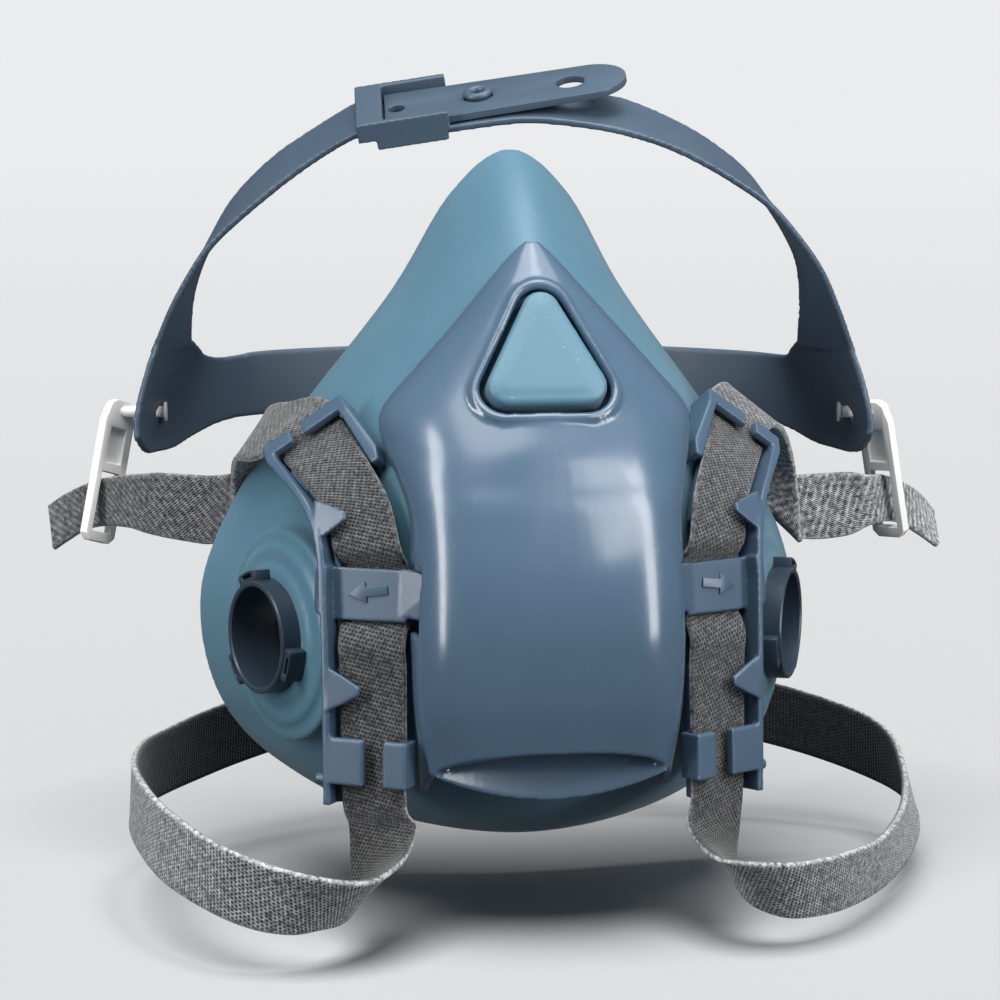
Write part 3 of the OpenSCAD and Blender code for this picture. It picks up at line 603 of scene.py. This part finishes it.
def cover_point(r, share, angle, inset):
    w = max(r[1] / 2, r[1] - inset)
    deep = min(inset, (r[2] - r[3]) / 2)
    g = swell(math.sin(angle), r[4])
    fall = MOUTH_DROP * share ** 5 * (1 - g)
    return -w * swell(math.cos(angle), r[4]), r[2] + (r[3] + deep - r[2]) * g, r[0] - fall


def mouth_lip():
    """The thin scoop under the mouth, from one side wall to the other."""
    loops = []
    for u in np.linspace(-1, 1, 25):
        back = np.array([26.4 * u, -63.3, -41])
        front = np.array([24.6 * u, -67, -56.6 + 5.4 * u * u])
        mid = back + (front - back) * 0.6
        loops.append([back + (0, 0.7, 0), mid + (0, 1.1, 0), front + (0, 0.8, 0), front - (0, 0.8, 0),
                      mid - (0, 0.3, 0), back - (0, 0.7, 0)])
    return loft(loops)


def valve_cover():
    rows = smooth(COVER, 9)
    # Angles gather towards the side edges, where the section turns fastest
    angles = [math.pi * (0.5 - 0.5 * math.cos(math.pi * k / 70)) for k in range(71)]
    loops = []
    for i, r in enumerate(rows):
        share = i / (len(rows) - 1)
        loops.append([cover_point(r, share, a, 0) for a in angles]
                     + [cover_point(r, share, a, COVER_T) for a in reversed(angles)])
    shape = loft(loops)
    obj = new_mesh("cover_shell", *shape)
    surface = BVHTree.FromPolygons([Vector(p) for p in shape[0]], shape[1])
    cut(obj, moved(prism(badge_outline(1.2), -3, 30), BADGE))
    for side in (-1, 1):
        cut(obj, moved(block((24, -66.8, WEB_Z - 2.1), (32, -52.8, WEB_Z + WEB_H + 2.1)), side_matrix(side)))
    # The raised lip round the window follows the shell's own surface
    inward = BADGE[:3, :3] @ np.array([0, 0, -1])
    loops = []
    outline = badge_outline(2.3, 120)
    for x, y in outline:
        start = (BADGE @ np.array([x, y, 30, 1]))[:3]
        hit = surface.ray_cast(Vector(start), Vector(inward))[0]
        centre = np.array(hit) if hit else start
        out = unit([x, y - 1, 0])
        radial = BADGE[:3, :3] @ out
        loops.append([centre + radial * 1.3 * math.cos(a) - inward * 1.0 * math.sin(a)
                      for a in np.arange(12) * math.pi / 6])
    lip = loft(loops, ring=True)
    rolled = new_mesh("lip", *lip)
    outward(rolled)
    bpy.context.view_layer.update()
    bm = bmesh.new()
    bm.from_mesh(obj.data)
    scoop = new_mesh("scoop", *mouth_lip())
    outward(scoop)
    for part in (rolled, scoop):
        bm.from_mesh(part.data)
        bpy.data.objects.remove(part)
    bm.to_mesh(obj.data)
    bm.free()
    moulded(obj, 0.5, 5)
    shade(obj)
    piece(obj, "valve_cover", cover_plastic, ["valve_cover"])
    return obj


valve_cover()

# ---------- straps ----------
STRAP_T = 1.4
STRAP_W = 16


def row(ax, ay, az, bx, by, bz):
    """The strap's outer or lower edge, then its inner or upper one."""
    return [ax, ay, az, bx, by, bz]


RUN = [
    row(43.2, -56.6, -58, 30.6, -64.4, -58), row(43.4, -56, -45, 30.5, -63.9, -45),
    row(43.5, -55.2, -30, 30.3, -62.8, -30), row(43.8, -53.4, -16, 30.4, -61, -16),
    row(44.2, -51, -5, 30.8, -58.8, -4), row(45.6, -46.6, 2, 32.8, -54.2, 6),
    row(48.8, -39.4, 7, 36.5, -45.8, 14), row(52.7, -29.8, 11.5, 40.1, -33.2, 20.5),
    row(55.4, -23, 14.6, 42.3, -22.6, 23.8)]
OVER_RIGHT = [
    row(59, -16.5, 15.4, 46.5, -15.7, 25.3), row(63.2, -7.5, 12.6, 50.4, -6.5, 22.2),
    row(66.6, 0, 7.3, 53.2, 3.5, 15.6), row(69.3, 6.5, 0.8, 54.6, 10, 6.6), row(70.8, 9.6, -7, 56, 11.6, 1.2),
    row(71.2, 10.4, -12.6, 57, 11.8, -0.6), row(71.9, 11.9, -15.2, 57.7, 13, -1.7),
    row(72.4, 13.4, -15, 58.6, 14.4, -0.8), row(73, 14, -15, 63.4, 15, -0.2)]
OVER_LEFT = [
    row(56, -18, 11.3, 46, -17, 23.6), row(58.5, -12, 9.3, 49.1, -12, 22.3), row(60.8, -5, 8.6, 51.4, -4, 21),
    row(61.2, 1, 6, 52.6, 2.5, 19), row(60.9, 6, 2, 53.4, 8, 15.5), row(60.6, 10.5, -3.5, 53.6, 11.5, 11),
    row(60.6, 13.4, -9, 55.4, 14, 6.4), row(62.2, 15.6, -12.4, 59.4, 16.2, 3.2)]
REACH_RIGHT = [row(75.6, 14.2, -15.2, 71, 15, 0), row(79.6, 14.2, -15, 78.4, 15, 0.3),
               row(84.3, 14, -14.2, 84.1, 15, 0.4)]
REACH_LEFT = [row(65.6, 17.6, -13.6, 64.4, 18.4, 2.2), row(71, 20.8, -13.2, 70.8, 21.8, 2.2),
              row(76, 24, -12.6, 76, 25, 2.2), row(79.6, 26.8, -12, 79.6, 27.8, 1.7)]
TAIL_RIGHT = [
    row(89, 13.8, -12, 88.2, 15, -0.3), row(94, 18.6, -12, 92.6, 18.9, -0.9),
    row(98.6, 22.4, -13.4, 97.6, 24.4, -2.8), row(104, 25.4, -16.6, 104.6, 33, -7),
    row(108.6, 27, -19.6, 110.6, 40, -12.8)]
TAIL_LEFT = [
    row(83.2, 31.4, -11.4, 83.2, 32.2, 0.9), row(88.3, 38.5, -12, 88.2, 38.5, -0.6),
    row(92.5, 42, -13.4, 92.5, 43, -2.6), row(96.5, 44, -16, 97, 48, -5.6),
    row(99.8, 44.5, -18.2, 100.6, 51, -8.6)]
LOOP_LEFT = [
    row(42, -57.4, -63, 28.6, -65.4, -62), row(42, -61, -71, 31, -71, -66),
    row(42, -66, -76, 35, -78, -67.5), row(43.5, -71, -78.5, 39.5, -83, -68.5),
    row(46.5, -75.5, -79.5, 44.5, -86.5, -68), row(51, -79.5, -79.5, 50.5, -88.5, -66.5),
    row(57, -82.5, -79.5, 57, -88.6, -64.8), row(65, -82.5, -78, 65, -86, -62.5),
    row(73, -77, -75.5, 73, -79, -59.8), row(81, -62, -73, 80.5, -62.5, -57),
    row(85, -43, -71, 84, -46.5, -55.5), row(86, -23, -70, 85.5, -27, -54.5),
    row(83.5, -4, -70, 82.5, -6, -54.2), row(77, 12, -70.4, 76, 10, -54.6),
    row(69, 24, -70, 69, 22, -54.2), row(59, 34, -68.6, 59, 32, -52.8),
    row(46, 43, -66.6, 46, 41.6, -50.7), row(32, 50, -64.4, 32, 49.4, -48.4), row(18, 54, -62, 18, 54, -46)]
LOOP_RIGHT = [
    row(42.6, -58, -62.5, 29.2, -66.4, -62.5), row(41.5, -61, -67, 30.5, -72, -66),
    row(40, -65, -71, 33, -79, -67.5), row(39.5, -70, -75.5, 35.5, -84, -67.2),
    row(42, -74.5, -79, 40.5, -85.5, -67.3), row(48, -76, -81.5, 47.5, -84, -68),
    row(55, -73, -82.5, 54, -80, -68.5), row(65, -64, -83.2, 63, -71, -69.2),
    row(77.5, -46, -83.5, 74.5, -54, -70.5), row(88, -27, -82, 84, -34, -69.7),
    row(95, -9, -80, 90, -16, -68.5), row(97.5, 5, -77.5, 93, -2, -65.5),
    row(96, 15.5, -76, 93.5, 11, -61.4), row(90.5, 24, -74, 90, 21, -58.6),
    row(82, 32, -71.5, 82, 29, -56), row(72, 39, -69.2, 72, 36.4, -53.6),
    row(60, 45.5, -67, 60, 43.4, -51.3), row(47, 50, -65, 47, 48.6, -49.2),
    row(33, 53, -63.4, 33, 52.5, -47.5), row(18, 54, -62, 18, 54, -46)]


FINE_RUN = smooth(RUN, 8)


def dipped(i, depth):
    """A row of the run sunk behind the bridge by that depth."""
    low, high = FINE_RUN[i][:3], FINE_RUN[i][3:]
    out = unit(np.cross(FINE_RUN[i + 1][:3] - FINE_RUN[i - 1][:3], low - high)) * depth
    return [*(low + out), *(high + out)]


STRAP_RUN = RUN[:3] + [dipped(i, d) for i, d in (
    (19, -0.5), (21, 0.9), (22, 2.6), (24, 2.8), (28, 2.8), (30, 2.7), (31, 1), (33, -0.3))] + RUN[5:]


def distances(path):
    """Distance along a path at each of its points."""
    return np.concatenate([[0], np.cumsum(np.linalg.norm(np.diff(path, axis=0), axis=1))])


def ribbons(rows, side, thick, steps, parts, painted_inner_light, bead=0.12):
    """A flat strap along its two edges, with rounded selvedges.

    Its 'lay' attribute holds millimetres across and along the weave, and the painted light and shade of that
    face.
    Parts gives each mesh's name with its first and last row, so that a strap can be cut without a kink.
    The last table gives rows and the brightness of the strap's inner face at each, as painted shade that is
    darkest in the loops and painted light on the right reach; its outer face is 1.
    """
    path = smooth(rows, steps)
    low, high = path[:, :3] * (side, 1, 1), path[:, 3:] * (side, 1, 1)
    mid = (low + high) / 2
    last = len(path) - 1
    along, low_along, high_along = (distances(p) for p in (mid, low, high))
    # Painted light and shade of the inner face at each row
    inner = np.interp(np.arange(len(path)) / steps, *painted_inner_light)
    loops, lay = [], []
    for i in range(len(path)):
        w = unit(high[i] - low[i])
        f = unit(np.cross(mid[min(i + 1, last)] - mid[max(i - 1, 0)], w)) * thick / 2
        half = np.linalg.norm(high[i] - low[i]) / 2
        section = [(s * (half - 0.5), -1 - bead * abs(s) ** 8) for s in np.linspace(-1, 1, 13)]
        section += [(half - 0.15, -0.7), (half, 0), (half - 0.15, 0.7)]
        section += [(s * (half - 0.5), 1 + bead * abs(s) ** 8) for s in np.linspace(1, -1, 13)]
        section += [(-half + 0.15, 0.7), (-half, 0), (-half + 0.15, -0.7)]
        loops.append([mid[i] + w * s + f * h for s, h in section])
        weave = []
        lead = high_along[i] - low_along[i]
        for s, h in section:
            share = (s + half) / half / 2
            weave.append((STRAP_W * share, low_along[i] + lead * share, inner[i] if h * side > 0 else 1))
        lay.append(weave)
    made = []
    for name, first, final in parts:
        span = slice(first * steps, final * steps + 1)
        obj = new_mesh(name, *loft(loops[span]))
        attribute = obj.data.attributes.new("lay", "FLOAT_VECTOR", "POINT")
        attribute.data.foreach_set("vector", np.array(lay[span], np.float32).ravel())
        outward(obj)
        shade(obj, 60)
        made.append(obj)
    return made, along[-1]


def flip(rows):
    return list(reversed(rows))


def straps(side, label, loop, over, reach, tail):
    """One strap: its web on the mask, and its end, which bends from the mask to the buckle."""
    rows = flip(loop) + STRAP_RUN + over + reach + tail
    first, last = len(loop), len(loop) + len(STRAP_RUN)
    # Painted shade on the inner face, darkest in the loops, and painted light on the reach, brighter on the
    # right than on the left
    painted_inner_light = ([first - 2, first, last - 2, last + 3], [0.10, 0.24, 0.28, 1.2 if side > 0 else 0.5])
    cut_row = len(rows) - len(tail) - len(reach)
    (web, end), length = ribbons(rows, side, STRAP_T, 8, (
        ("strap_web_" + label, 0, cut_row), ("strap_end_" + label, cut_row, len(rows) - 1)), painted_inner_light)
    piece(web, "mask", webbing, ["strap_" + label])
    piece(end, None, webbing, ["strap_tail_" + label])
    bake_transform(end)
    return length


lengths = {"left": straps(-1, "left", LOOP_LEFT, OVER_LEFT, REACH_LEFT, TAIL_LEFT),
           "right": straps(1, "right", LOOP_RIGHT, OVER_RIGHT, REACH_RIGHT, TAIL_RIGHT)}
print("strap lengths in mm:", {k: round(v) for k, v in lengths.items()})

# ---------- harness yoke ----------
def from_cad(name, node, voxel, rounds):
    """A moulded copy of a CAD node, its edges softened."""
    obj = bpy.data.objects.new(name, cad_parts[node].data.copy())
    bpy.context.scene.collection.objects.link(obj)
    bm = bmesh.new()
    bm.from_mesh(obj.data)
    bmesh.ops.remove_doubles(bm, verts=bm.verts, dist=1e-6)
    bm.to_mesh(obj.data)
    bm.free()
    return moulded(obj, voxel, rounds)


RUN_STEPS = 4
BRIDGE_AT = 13


def arrow(side):
    """A raised arrow on the bridge, pointing outwards."""
    before, here, after = smooth(RUN, RUN_STEPS)[BRIDGE_AT - 1:BRIDGE_AT + 2]
    low, high = here[:3], here[3:]
    x = unit(low - high)
    climb = unit(after[:3] + after[3:] - before[:3] - before[3:])
    y = unit(np.cross(climb, x))
    outline = [(-4.5, -1), (0.4, -1), (0.4, -2.3), (4.5, 0), (0.4, 2.3), (0.4, 1), (-4.5, 1)]
    place = basis(x, np.cross(x, y), -y, (low + high) / 2) @ shift(0.5, -0.2, 0) @ turn(math.radians(-8), "Z")
    shape = moved(moved(prism(outline, -0.5, 0.35), place), side_matrix(side))
    obj = new_mesh("yoke_arrow_" + str(side), *shape)
    outward(obj)
    bevelled(obj, 0.15, 2)
    shade(obj, 40)
    piece(obj, "mask", yoke_plastic)


for side in (-1, 1):
    arrow(side)
yoke = from_cad("yoke_frame", "harness_yoke", 0.33, 4)
shade(yoke)
piece(yoke, "mask", yoke_plastic, ["harness_yoke"])

# ---------- head cradle ----------
CRADLE = turn(CRADLE_TURN, "Z")
CRADLE_T = 1.6
CROWN_MID_Y = 4
TOP_LEAN = unit([0, 0.94, 0.34])
LAP_SLOPE = 0.155
LAP_GAP = 2.3
KEEPER_X = -33
KEEPER_Z = 83.6
HINGE_X = -26.6
STUD_X = -5.7
BOOT_LEFT = [
    [-84.4, 15.5, 9.6, -83.8, 15.6, 18, -79.7, 15, 31.2], [-83, 23, 5.6, -82.4, 23.5, 15, -77, 24, 31.2],
    [-80.8, 31, 4.8, -80.6, 31.5, 14.5, -73.8, 32.4, 31.2],
    [-78, 38.5, 4.8, -77.4, 39.5, 14.5, -72.4, 40, 28.8],
    [-74, 45.6, 6.8, -73.2, 47, 15, -71.2, 48, 25.8], [-67.4, 54.2, 9.2, -67.4, 54.4, 16.5, -67, 54.8, 24.5]]
BOOT_RIGHT = [
    [84.2, 15.5, 10.6, 83.6, 16, 18, 79.6, 16.5, 31.2], [83, 23, 6.4, 82.4, 23.5, 15, 75, 24.5, 31.2],
    [80.8, 31, 4.8, 80.6, 31.5, 14.5, 69.6, 32, 31.2], [78, 38.5, 4.6, 77, 39.5, 14.5, 68, 40, 28.6],
    [74, 45.6, 5.2, 72.6, 47, 14.5, 67.6, 48.5, 26], [67.4, 54.2, 8, 67, 55, 16.5, 66, 55.6, 25.1]]
CROWN_LEFT = [
    row(-79.6, 15, 31.6, -73.5, 33, 31.6), row(-75.9, 11.8, 39.7, -72.9, 30.6, 39.7),
    row(-71.4, 9, 47.6, -71, 28, 47), row(-66, 6.5, 55.2, -67.8, 25.4, 54.2),
    row(-57.6, 3.6, 62.8, -61.8, 22, 64.4),
    row(-48.1, 0.8, 70.4, -53, 18.9, 73.4), row(-40, -1.6, 76, -44.4, 16.7, 79.5)]
CROWN_RIGHT = [
    row(79.6, 16, 31.6, 68.8, 32, 31.6), row(76.4, 12.4, 39.6, 69.1, 29.8, 40),
    row(72.1, 8.8, 48.7, 68.1, 27.4, 49.2), row(66.6, 5.8, 56.4, 65, 24.8, 56.4),
    row(59.8, 3.2, 64, 60, 22, 64.2), row(51.7, 1.2, 69.6, 55, 20, 70.8),
    row(44.5, -0.4, 73.8, 48.8, 18, 76), row(37.4, -1.8, 77.2, 41, 16.3, 81)]
SLOT_AT = np.array([81, 30, 14.3])


def tongue_z(x):
    """Height of the sizing tongue at x."""
    return KEEPER_Z + LAP_SLOPE * (x - KEEPER_X)


def top_row(x, z, w=19):
    """A row of a crown strap where it crosses the top of the head."""
    c, h = np.array([x, CROWN_MID_Y, z]), TOP_LEAN * w / 2
    return [*(c - h), *(c + h)]


def band_loops():
    """Sections of the rear band and its two boots, from the left boot round the back to the right one."""
    back = []
    for x in (-58, -40, -20, 0, 20, 40, 58):
        y = 20 + 60 * math.sqrt(1 - (x / 82) ** 2)
        back.append([x, y, 9.8, x, y, 17.5, x, y, 25.3])
    rows = smooth(BOOT_LEFT + back + flip(BOOT_RIGHT), 8)
    loops = []
    for i, r in enumerate(rows):
        t = unit(rows[min(i + 1, len(rows) - 1)][3:6] - rows[max(i - 1, 0)][3:6])
        across = [bezier2(r[:3], r[3:6], r[6:], u) for u in np.linspace(0, 1, 9)]
        faces = []
        for j, p in enumerate(across):
            w = across[min(j + 1, 8)] - across[max(j - 1, 0)]
            faces.append((p, unit(np.cross(t, w)) * CRADLE_T / 2))
        loops.append([p + f for p, f in faces] + [p - f for p, f in reversed(faces)])
    return loops


def bezier2(a, mid, b, u):
    """The parabola through a, mid and b at 0, a half and 1."""
    return a * (1 - u) * (1 - 2 * u) + mid * 4 * u * (1 - u) + b * u * (2 * u - 1)


def strap_loops(rows, steps):
    path = smooth(rows, steps)
    mid = (path[:, :3] + path[:, 3:]) / 2
    loops = []
    for i in range(len(path)):
        a, b = path[i, :3], path[i, 3:]
        t = unit(mid[min(i + 1, len(path) - 1)] - mid[max(i - 1, 0)])
        f = unit(np.cross(t, b - a)) * CRADLE_T / 2
        loops.append([a - f, a + f, b + f, b - f])
    return loops


def cradle():
    left = CROWN_LEFT + [top_row(KEEPER_X, KEEPER_Z - 0.4), top_row(HINGE_X - 1, tongue_z(HINGE_X - 1))]
    right = CROWN_RIGHT + [top_row(28, 83.6), top_row(16, 85.8), top_row(5, 86.6),
                           top_row(STUD_X, tongue_z(STUD_X) - LAP_GAP), top_row(-20, tongue_z(-20) - LAP_GAP),
                           top_row(-28, tongue_z(-28) - LAP_GAP)]
    for rows in (left, right):
        first = np.array(rows[0])
        second = np.array(rows[1])
        rows.insert(0, list(first - (second - first) * 0.25))
    band = new_mesh("cradle_shell", *loft(band_loops()))
    for side in (-1, 1):
        diamond = [(2.9, 0), (0, 2.9), (-2.9, 0), (0, -2.9)]
        place = shift(side * SLOT_AT[0] - 6, SLOT_AT[1], SLOT_AT[2]) @ turn(math.pi / 2, "Y")
        cut(band, moved(prism(diamond, 0, 12), place))
    bm = bmesh.new()
    bm.from_mesh(band.data)
    for rows in (left, right):
        arm = new_mesh("arm", *loft(strap_loops(rows, 8)))
        outward(arm)
        bm.from_mesh(arm.data)
        bpy.data.objects.remove(arm)
    bm.to_mesh(band.data)
    bm.free()
    moulded(band, 0.5, 4)
    band.data.transform(Matrix(CRADLE.tolist()))
    shade(band)
    piece(band, "cradle", cradle_plastic, ["cradle_band", "crown_strap_left", "crown_strap_right"])


cradle()


def top_frame(x, z):
    """x along the tongue, y across it towards the back, z out of it."""
    u = unit([1, 0, LAP_SLOPE])
    n = unit(np.cross(u, TOP_LEAN))
    return CRADLE @ basis(u, np.cross(n, u), n, (x, CROWN_MID_Y, z))


def stud():
    """The hollow stud that the tongue's hole snaps over."""
    profile = [(0.01, -LAP_GAP), (2.9, -LAP_GAP), (2.9, 1.0), (3.3, 1.35), (3.3, 1.8), (2.9, 2.3),
               (2.3, 2.45), (1.7, 2.2), (1.4, 1.6), (1.4, -0.9), (0.01, -0.9)]
    obj = new_mesh("crown_stud", *moved(lathe(profile, 48), top_frame(STUD_X, tongue_z(STUD_X))))
    outward(obj)
    shade(obj, 50)
    piece(obj, "cradle", cradle_plastic)


stud()


def keeper():
    """The rectangular loop that both crown straps pass through."""
    shapes = [block((0, -11.4, 1.2), (6, 12.4, 2.7)), block((4, -10, -4.3), (20, 12.4, -3.4))]
    for y in (-11.4, 10.6):
        shapes.append(block((0, y, -1.7), (20.6, y + 1.8, 2.7)))
        shapes.append(block((4, y, -3.9), (20, y + 1.8, -0.9)))
    obj = new_mesh("crown_keeper_frame", *moved(together(*shapes), top_frame(KEEPER_X, KEEPER_Z)))
    moulded(obj, 0.3, 3)
    shade(obj)
    piece(obj, "cradle", cradle_plastic, ["crown_keeper"])


keeper()


def tongue():
    """The sizing tongue, round at its tip, with its pin hole and two sizing holes."""
    tip, tip_r = 28 - HINGE_X, 8.6
    slant = math.cos(math.atan(LAP_SLOPE))
    nose = [(tip - tip_r + tip_r * math.cos(a), tip_r * math.sin(a))
            for a in np.linspace(-math.pi / 2, math.pi / 2, 33)]
    outline = [(0, -9.5), *nose, (0, 9.5)]
    obj = new_mesh("crown_tongue_strip", *prism(outline, -CRADLE_T / 2, CRADLE_T / 2))
    for x, r in ((2.6, 2.0), ((STUD_X - HINGE_X) / slant, 3.3), ((14.9 - HINGE_X) / slant, 3.3)):
        cut(obj, prism(circle(r, 48, x), -3, 3))
    bevelled(obj, 0.4, 3)
    obj.data.transform(in_metres(top_frame(HINGE_X, tongue_z(HINGE_X))))
    shade(obj, 40)
    piece(obj, "crown_tongue", cradle_plastic, ["crown_tongue"])


tongue()

# ---------- buckles ----------
BUCKLES = {
    "right": (np.array([93.8, 18.7, -6.4]), np.array([90, 16.6, 14.3]), np.array([0.74, 0.64, -0.1]), 1),
    "left": (np.array([-88.6, 38.6, -6.3]), np.array([-84.4, 43.2, 14.3]), np.array([-0.62, 0.78, -0.1]), -1)}
WINDOW_H = 14


def buckle(label):
    """A buckle's ring with its strap window, and the peg that turns in the boot's slot."""
    centre, top, along, side = BUCKLES[label]
    z = unit(top - centre)
    x = unit(np.cross(along, z))
    place = basis(x, np.cross(z, x), z, centre)
    height = float(np.linalg.norm(top - centre))
    low, high = -WINDOW_H / 2 - 2.4, height + 2.6
    outline = [(-4.4, low + 1.5), (-2.9, low), (2.9, low), (4.4, low + 1.5), (4.4, high - 5), (3.2, high - 1),
               (1.8, high), (-1.8, high), (-3.2, high - 1), (-4.4, high - 5)]
    upright = turn(math.pi / 2, "X")
    obj = new_mesh("buckle_ring_" + label, *moved(prism(outline, -1.2, 1.2), upright))
    cut(obj, block((-2.7, -3, -WINDOW_H / 2), (2.7, 3, WINDOW_H / 2)))
    cut(obj, block((-2.3, -3, WINDOW_H / 2 + 2.2), (2.3, -0.2, height - 4)))
    bevelled(obj, 0.45, 3)
    obj.data.transform(in_metres(place))
    shade(obj, 40)
    piece(obj, "buckle_" + label, buckle_plastic, ["buckle_" + label])
    start, reach = (77.9, 9.9) if side > 0 else (78.8, 10.8)
    head_r, shaft_r = 2.3, 1.35
    profile = [(0.01, 0), (head_r, 0), (head_r, 0.5), (shaft_r, 0.9), (shaft_r, reach), (0.01, reach)]
    seat = CRADLE @ shift(side * start, SLOT_AT[1], SLOT_AT[2]) @ turn(side * math.pi / 2, "Y")
    peg = new_mesh("buckle_peg_" + label, *moved(lathe(profile, 32), seat))
    outward(peg)
    shade(peg, 40)
    piece(peg, "buckle_" + label, buckle_plastic)


for label in BUCKLES:
    buckle(label)

# ---------- CAD nodes that show as they are ----------
for node, material in (
        ("inhale_seat_left", valve_plastic), ("inhale_seat_right", valve_plastic),
        ("exhale_seat", valve_plastic), ("seat_clamp_ring", valve_plastic),
        ("inhale_flap_left", flap_rubber), ("inhale_flap_right", flap_rubber),
        ("exhale_flap", exhale_rubber), ("neck_hook", yoke_plastic), ("neck_loop", yoke_plastic)):
    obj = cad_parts[node]
    obj.data.materials.clear()
    obj.data.materials.append(material)
    soft = obj.modifiers.new("edges", "BEVEL")
    soft.width = 0.0003
    soft.segments = 2
    soft.limit_method = "ANGLE"
    soft.angle_limit = math.radians(35)

# ---------- floor, lights and camera ----------
def floor_paper():
    """Pale paper with a painted light gradient: it gets a little lighter with distance."""
    p = Paint("floor_paper")
    where = p.node("ShaderNodeTexCoord")
    length = p.node("ShaderNodeVectorMath", operation="LENGTH")
    p.join(where.outputs["Object"], length.inputs[0])
    depth = p.grey(length.outputs["Value"], 0.0, 1.0, 0.2, 3.0)
    # Painted light falloff: the paper's colour grows lighter with distance from the point below the mask
    p.join(p.ramp(depth, [(0.0, (0.80, 0.80, 0.80)), (0.35, (0.84, 0.84, 0.84)), (1.0, (0.90, 0.90, 0.90))]),
           p.shader.inputs["Base Color"])
    p.bump(p.noise(300.0, 2.0), 0.1, 0.0005)
    p.set(Roughness=0.95, Specular_IOR_Level=0.0)
    return p.material


def stage():
    floor_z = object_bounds()[0][2] - 0.004
    bpy.ops.mesh.primitive_plane_add(size=300, location=(0, 0, floor_z))
    floor = bpy.context.object
    floor.name = "floor"
    floor.data.materials.append(floor_paper())
    floor.visible_diffuse = False
    floor.visible_glossy = False
    floor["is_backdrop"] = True
    return floor


def area_light(name, place, target, width, height, power, unlit):
    light = bpy.data.lights.new(name, "AREA")
    light.energy = power
    light.shape = "RECTANGLE"
    light.size = width
    light.size_y = height
    obj = bpy.data.objects.new(name, light)
    bpy.context.scene.collection.objects.link(obj)
    obj.location = place
    obj.light_linking.receiver_collection = unlit
    obj.rotation_euler = (Vector(target) - Vector(place)).to_track_quat("-Z", "Y").to_euler()


def lights(floor):
    """A soft sky light from above, a strip box at each side and a large box high in front."""
    sun = bpy.data.lights.new("sky", "SUN")
    sun.energy = 2.75
    sun.angle = math.radians(50)
    obj = bpy.data.objects.new("sky", sun)
    bpy.context.scene.collection.objects.link(obj)
    obj.rotation_euler = Vector((0.12, 0.25, -1)).to_track_quat("-Z", "Y").to_euler()
    middle = (0, -0.03, 0)
    # The boxes light the object and leave the paper to the sky
    unlit = bpy.data.collections.new("paper")
    unlit.objects.link(floor)
    unlit.collection_objects[0].light_linking.link_state = "EXCLUDE"
    area_light("top_box", (0.18, -0.10, 0.62), middle, 0.55, 0.35, 1.8, unlit)
    area_light("strip_left", (-0.62, -0.32, 0.20), middle, 0.14, 0.75, 4.2, unlit)
    area_light("strip_right", (0.62, -0.50, 0.20), middle, 0.16, 0.75, 4.2, unlit)
    area_light("front_top", (0.50, -0.82, 0.58), middle, 0.5, 0.45, 4.4, unlit)
    world = bpy.data.worlds.new("studio")
    world.use_nodes = True
    background = world.node_tree.nodes["Background"]
    background.inputs[0].default_value = (0.80, 0.86, 0.95, 1)
    background.inputs[1].default_value = 0.10
    bpy.context.scene.world = world


def camera():
    """A long lens at a low height, turned with the cradle."""
    distance, elevation = 0.85, math.radians(8)
    back = CRADLE[:3, :3] @ np.array([0, -math.cos(elevation), math.sin(elevation)])
    data = bpy.data.cameras.new("camera")
    data.lens = 135.25
    data.sensor_width = 36
    data.shift_x = -0.004
    data.shift_y = -0.010
    obj = bpy.data.objects.new("camera", data)
    bpy.context.scene.collection.objects.link(obj)
    obj.location = Vector(back * distance)
    obj.rotation_euler = Vector(-back).to_track_quat("-Z", "Y").to_euler()
    bpy.context.scene.camera = obj


paper = stage()
camera()
lights(paper)
bpy.context.scene.view_settings.view_transform = "Standard"
